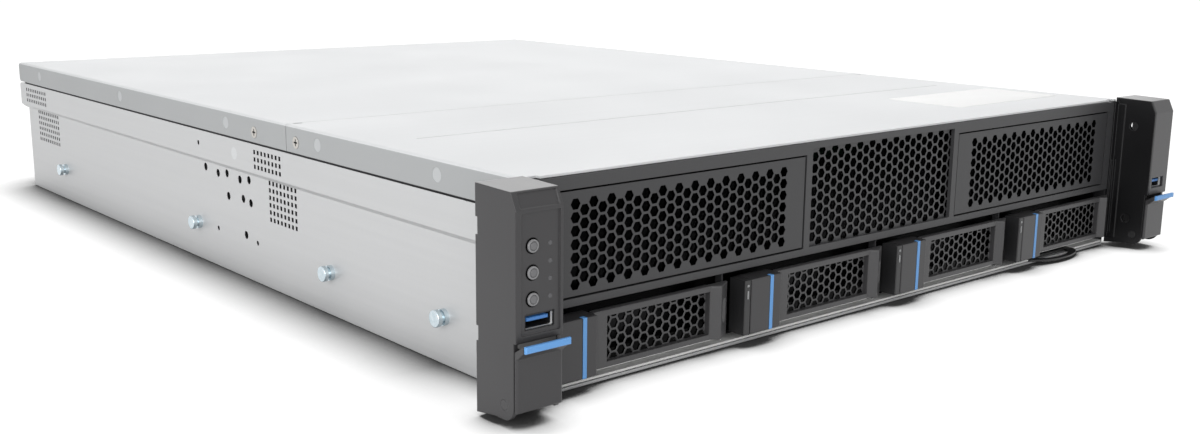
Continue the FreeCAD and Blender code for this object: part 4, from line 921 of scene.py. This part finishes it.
for piece in rows:
    finished(piece, contact_gold, "case")


# %% [markdown]
# ## Blank sheets
# A plain white sheet is stuck on the front cover, and each drive wears one on its lid. It is paper-thin,
# with rounded corners and a slightly rounded edge, so its outline catches the light. The finish is coated
# paper: almost even, with a faint mottle and a soft gloss.

# %% Sheets
SHEET = 0.12 * MM
SHEET_ROUND = 2.5 * MM
FIBRE_SCALE = 700.0
FIBRE_RELIEF = 0.006 * MM
sheet_white = Finish("sheet_white")
fibre = sheet_white.noise(FIBRE_SCALE, 4.0)
sheet_white.set(Base_Color=sheet_white.mix(fibre, (0.92, 0.92, 0.915), (0.96, 0.96, 0.955)),
                Roughness=0.4 + 0.2 * fibre)
sheet_white.relief(fibre, FIBRE_RELIEF)


def sheet(name, low, high, body):
    """A thin sheet that lies on a level face, between two corners of its underside."""
    piece = block(name, low, high + Vector((0, 0, SHEET)))
    pick(piece, "EDGE", lambda at, way: abs(way.z) > STRAIGHT)
    soften(SHEET_ROUND, 6)
    pick(piece, "EDGE", lambda at, way: at.z > low.z + SHEET - HAIR and abs(way.z) < 0.01)
    soften(SHEET / 3, 2)
    finished(piece, sheet_white, body)


cover_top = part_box("top_cover_front")[1].z
sheet_low = place(106, 32, 0)
sheet_high = place(207, 81, 0)
sheet_low.z = cover_top
sheet_high.z = cover_top
sheet("cover_sheet_blank", sheet_low, sheet_high, "case")


# %% [markdown]
# ## Tray lights
# A slim post at the left of each tray carries two light windows: a tall bar and a small one over it. They
# are pale lenses that stand a hair proud of the post. A box is enough to start from: its front is inset
# for a rim, and the edges in front are rounded.

# %% Lights on the trays
POST_ACROSS = 3.75 * MM
LENS_PROUD = 0.3 * MM
LENS_SUNK = 0.3 * MM
LENS_RIM = 0.12 * MM
LENS_STEP = 0.08 * MM
LENS_ROUND = 0.06 * MM
LENSES = ((0.7 * MM, 22.8 * MM, 26.4 * MM), (1.1 * MM, 28.2 * MM, 29.2 * MM))


def tray_lights(tray):
    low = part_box(f"carrier_{tray}")[0]
    across = low.x + POST_ACROSS
    made = []
    for number, (width, bottom, top) in enumerate(LENSES):
        near = Vector((across - width / 2, low.y - LENS_PROUD, bottom))
        far = Vector((across + width / 2, low.y + LENS_SUNK, top))
        lens = block(f"tray_lights_{tray}_{number}", near, far)
        pick(lens, "FACE", lambda at, way: way.y < -STRAIGHT)
        bpy.ops.mesh.inset(thickness=LENS_RIM, depth=LENS_STEP)
        pick(lens, "EDGE", lambda at, way: at.y < low.y)
        soften(LENS_ROUND, 2)
        made.append(lens)
    piece = joined(made)
    piece.name = f"tray_lights_{tray}"
    finished(piece, pale_lens, f"tray_{tray}")


for tray in trays:
    tray_lights(tray)


# %% [markdown]
# A folded sill of pale zinc runs along the foot of each tray's bridge, under the lever. Its paleness is
# painted light, and it shows as a thin bright line below the black levers. It starts as a box whose upper
# edge is rounded and whose foot is pulled forward.

# %% Sills
SILL_START = 25.6 * MM
SILL_END = 103.6 * MM
SILL_RISE = 1.5 * MM
SILL_SHEET = 0.5 * MM
SILL_FOOT = 2.2 * MM
BRIDGE_FRONT = 7.5
# The sill's pale zinc is painted light.
sill_zinc = zinc("sill_zinc", CAGE_LIT_PALE, CAGE_LIT_DULL, GRAIN_ACROSS_CASE, 0.6, 0.0)


def tray_sill(tray):
    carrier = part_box(f"carrier_{tray}")[0]
    back = place(0, BRIDGE_FRONT, 0).y
    low = Vector((carrier.x + SILL_START, back - SILL_SHEET, carrier.z))
    high = Vector((carrier.x + SILL_END, back, carrier.z + SILL_RISE))
    sill = block(f"tray_sill_{tray}", low, high)
    pick(sill, "FACE", lambda at, way: way.y < -STRAIGHT)
    bpy.ops.mesh.subdivide(number_cuts=2)
    pick(sill, "FACE", lambda at, way: way.y < -STRAIGHT and at.z < low.z + SILL_RISE / 3)
    pull((0, -SILL_FOOT, 0))
    pick(sill, "EDGE", lambda at, way: abs(way.x) > STRAIGHT and at.z > high.z - HAIR)
    soften(SILL_SHEET / 3, 3)
    finished(sill, sill_zinc, f"tray_{tray}")


for tray in trays:
    tray_sill(tray)


# %% [markdown]
# ## Drive lids
# Each drive's lid lies a little below the rim of its casting and is held by six small screws with round
# heads. A disc with a rounded rim and a pushed-in middle is enough for one. It is copied to the other
# places, and the six are joined into one mesh. A blank sheet lies on the lid between them.

# %% Screws and sheets on the drives
SCREW_RADIUS = 2.1 * MM
SCREW_RISE = 0.5 * MM
SCREW_INSET = 6.6 * MM
LID_RECESS = 0.5 * MM
SHEET_INSET = Vector((12.0, 19.0, 0.0)) * MM
HEAD_ROUND = 0.2 * MM
HEAD_RIM = 0.9 * MM
HEAD_HOLE = 0.3 * MM
LID_SCREWS = ((0, 0), (1, 0), (0, 0.5), (1, 0.5), (0, 1), (1, 1))


def lid_screw(name, at):
    """A low round head with a round hole."""
    screw = disc(name, at + Vector((0, 0, SCREW_RISE / 2)), SCREW_RADIUS, SCREW_RISE, 0.0, 24)
    pick(screw, "EDGE", lambda middle, way: middle.z > at.z + SCREW_RISE - HAIR)
    soften(HEAD_ROUND, 2)
    pick(screw, "FACE", lambda middle, way: way.z > STRAIGHT and (middle - at).xy.length < HAIR)
    bpy.ops.mesh.inset(thickness=HEAD_RIM)
    bpy.ops.mesh.inset(thickness=HOLE_TAPER, depth=-HEAD_HOLE)
    return screw


def drive_lid(tray):
    low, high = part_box(f"drive_{tray}")
    high.z -= LID_RECESS
    span = Vector((high.x - low.x - 2 * SCREW_INSET, high.y - low.y - 2 * SCREW_INSET, 0))
    corner = Vector((low.x + SCREW_INSET, low.y + SCREW_INSET, high.z))
    first = lid_screw(f"lid_screws_{tray}", corner)
    others = [copied(first, f"lid_screw_{tray}_{number}", (span.x * across, span.y * back, 0))
              for number, (across, back) in enumerate(LID_SCREWS[1:])]
    finished(joined([first] + others), bright_zinc, f"tray_{tray}")
    sheet_low = Vector((low.x, low.y, high.z)) + SHEET_INSET
    sheet(f"drive_sheet_{tray}", sheet_low, high - SHEET_INSET, f"tray_{tray}")


for tray in trays:
    drive_lid(tray)


# %% [markdown]
# ## The studio
# The recorder stands on a white floor under a wide soft light, with more soft lights in front, at the
# left and behind it. The one behind gives black edges their sheen. The world is an even pale grey, but
# the camera, reflections and glass see it plain white. The floor glows white for them too, wherever
# nothing stands close above it: ambient occlusion measures that, so a soft shadow stays where the
# recorder meets the floor. The shadow is narrower and fades sooner in front than at the sides.

# %% World and floor
world = bpy.data.worlds.new("studio")
bpy.context.scene.world = world
world.use_nodes = True
sky = Network(world.node_tree)
FILL_LIGHT = 0.45


def eye_rays(network):
    """One for what is seen directly, in a reflection or through glass."""
    mirrored = network.ray("Is Glossy Ray").or_more(network.ray("Is Transmission Ray"))
    return network.ray("Is Camera Ray").or_more(mirrored)


fill = sky.node("ShaderNodeBackground", {}, {"Color": (1, 1, 1), "Strength": FILL_LIGHT})
white = sky.node("ShaderNodeBackground", {}, {"Color": (1, 1, 1), "Strength": 1.0})
both = sky.node("ShaderNodeMixShader", {}, {0: eye_rays(sky), 1: fill, 2: white})
sky.fill(sky.tree.nodes["World Output"].inputs["Surface"], both)

FLOOR_SIZE = 12.0
FLOOR_DROP = 0.4 * MM
SIDE_SHADOW = 0.04
FRONT_SHADOW = 0.016
SHADOW_TURN = 0.06
SHADOW_SAMPLES = 24
SHADED_FLOOR = (0.16, 0.16, 0.16)
OPEN_FLOOR = (0.8, 0.8, 0.8)
SEEN_FLOOR = (0.06, 0.06, 0.06)
put_down()
bpy.ops.mesh.primitive_plane_add(size=FLOOR_SIZE, location=(0, 0, -FLOOR_DROP))
floor = bpy.context.object
floor.name = "studio_floor"
floor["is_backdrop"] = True
floor_white = Finish("floor_white")


def openness(reach):
    """From nought beside a wall that is taller than a reach to one in the open."""
    share = floor_white.node("ShaderNodeAmbientOcclusion", {"samples": SHADOW_SAMPLES},
                             {"Distance": reach}, "AO")
    return (2.0 * share - 1.0).or_more(0.0)


before = ((FRONT + SHADOW_TURN - floor_white.axis("Y")) * (1 / SHADOW_TURN)).or_more(0.0).at_most(1.0)
clear = before * openness(FRONT_SHADOW).root() + (1.0 - before) * openness(SIDE_SHADOW)
seen = eye_rays(floor_white)
bounced = floor_white.mix(clear, SHADED_FLOOR, OPEN_FLOOR)
floor_white.set(Base_Color=floor_white.mix(seen, bounced, SEEN_FLOOR), Roughness=0.9,
                Emission_Color=floor_white.mix(seen * clear, (0, 0, 0), (1, 1, 1)), Emission_Strength=1.0)
floor.data.materials.append(floor_white.material)
print("floor at", round(floor.location.z, 5))


# %% Lights
def soft_light(name, position, aim, width, height, power):
    lamp = bpy.data.lights.new(name, "AREA")
    lamp.shape = "RECTANGLE"
    lamp.size = width
    lamp.size_y = height
    lamp.energy = power
    holder = bpy.data.objects.new(name, lamp)
    bpy.context.scene.collection.objects.link(holder)
    holder.location = position
    holder.rotation_euler = (Vector(aim) - Vector(position)).to_track_quat("-Z", "Y").to_euler()
    holder.visible_camera = False
    print(name, "light of", power, "W")


soft_light("overhead", (0.3, 0.0, 1.7), (0, 0, 0), 1.6, 1.6, 6)
soft_light("front_fill", (-0.7, -1.5, 0.35), (0, -0.2, 0.03), 1.2, 0.7, 4.5)
soft_light("side_fill", (-1.5, -0.65, 0.55), (0, -0.15, 0.04), 1.4, 0.8, 12.5)
soft_light("back_glow", (1.1, 1.3, 0.6), (0, 0, 0.08), 2.4, 1.4, 10)


# %% [markdown]
# ## The camera
# The view is from the left front, a little above the top cover. Its place and turn were worked out from
# the rack's standard width and height, so they are written down as numbers.

# %% Camera
LENS = 38.66
CAMERA_PLACE = place(-505.8, -374.65, 172.06)
LOOK_YAW = math.radians(40.8)
LOOK_DOWN = math.radians(11.84)
ROLL = math.radians(0.62)
camera_data = bpy.data.cameras.new("photograph")
camera_data.lens = LENS
camera_data.sensor_width = 36.0
camera_data.clip_start = 0.01
camera = bpy.data.objects.new("photograph", camera_data)
bpy.context.scene.collection.objects.link(camera)
camera.matrix_world = (Matrix.Translation(CAMERA_PLACE) @ Matrix.Rotation(-LOOK_YAW, 4, "Z")
                       @ Matrix.Rotation(math.pi / 2 - LOOK_DOWN, 4, "X") @ Matrix.Rotation(ROLL, 4, "Z"))
bpy.context.scene.camera = camera
bpy.context.scene.view_settings.view_transform = "Standard"
print("camera at", tuple(round(v, 3) for v in CAMERA_PLACE))


# %% [markdown]
# ## Sizes
# The dressed recorder has to fill the same box as its solids, so the size of everything that is shown is
# printed.

# %% Sizes and the end
low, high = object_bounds()
print("size in metres:", tuple(round(v, 4) for v in high - low))
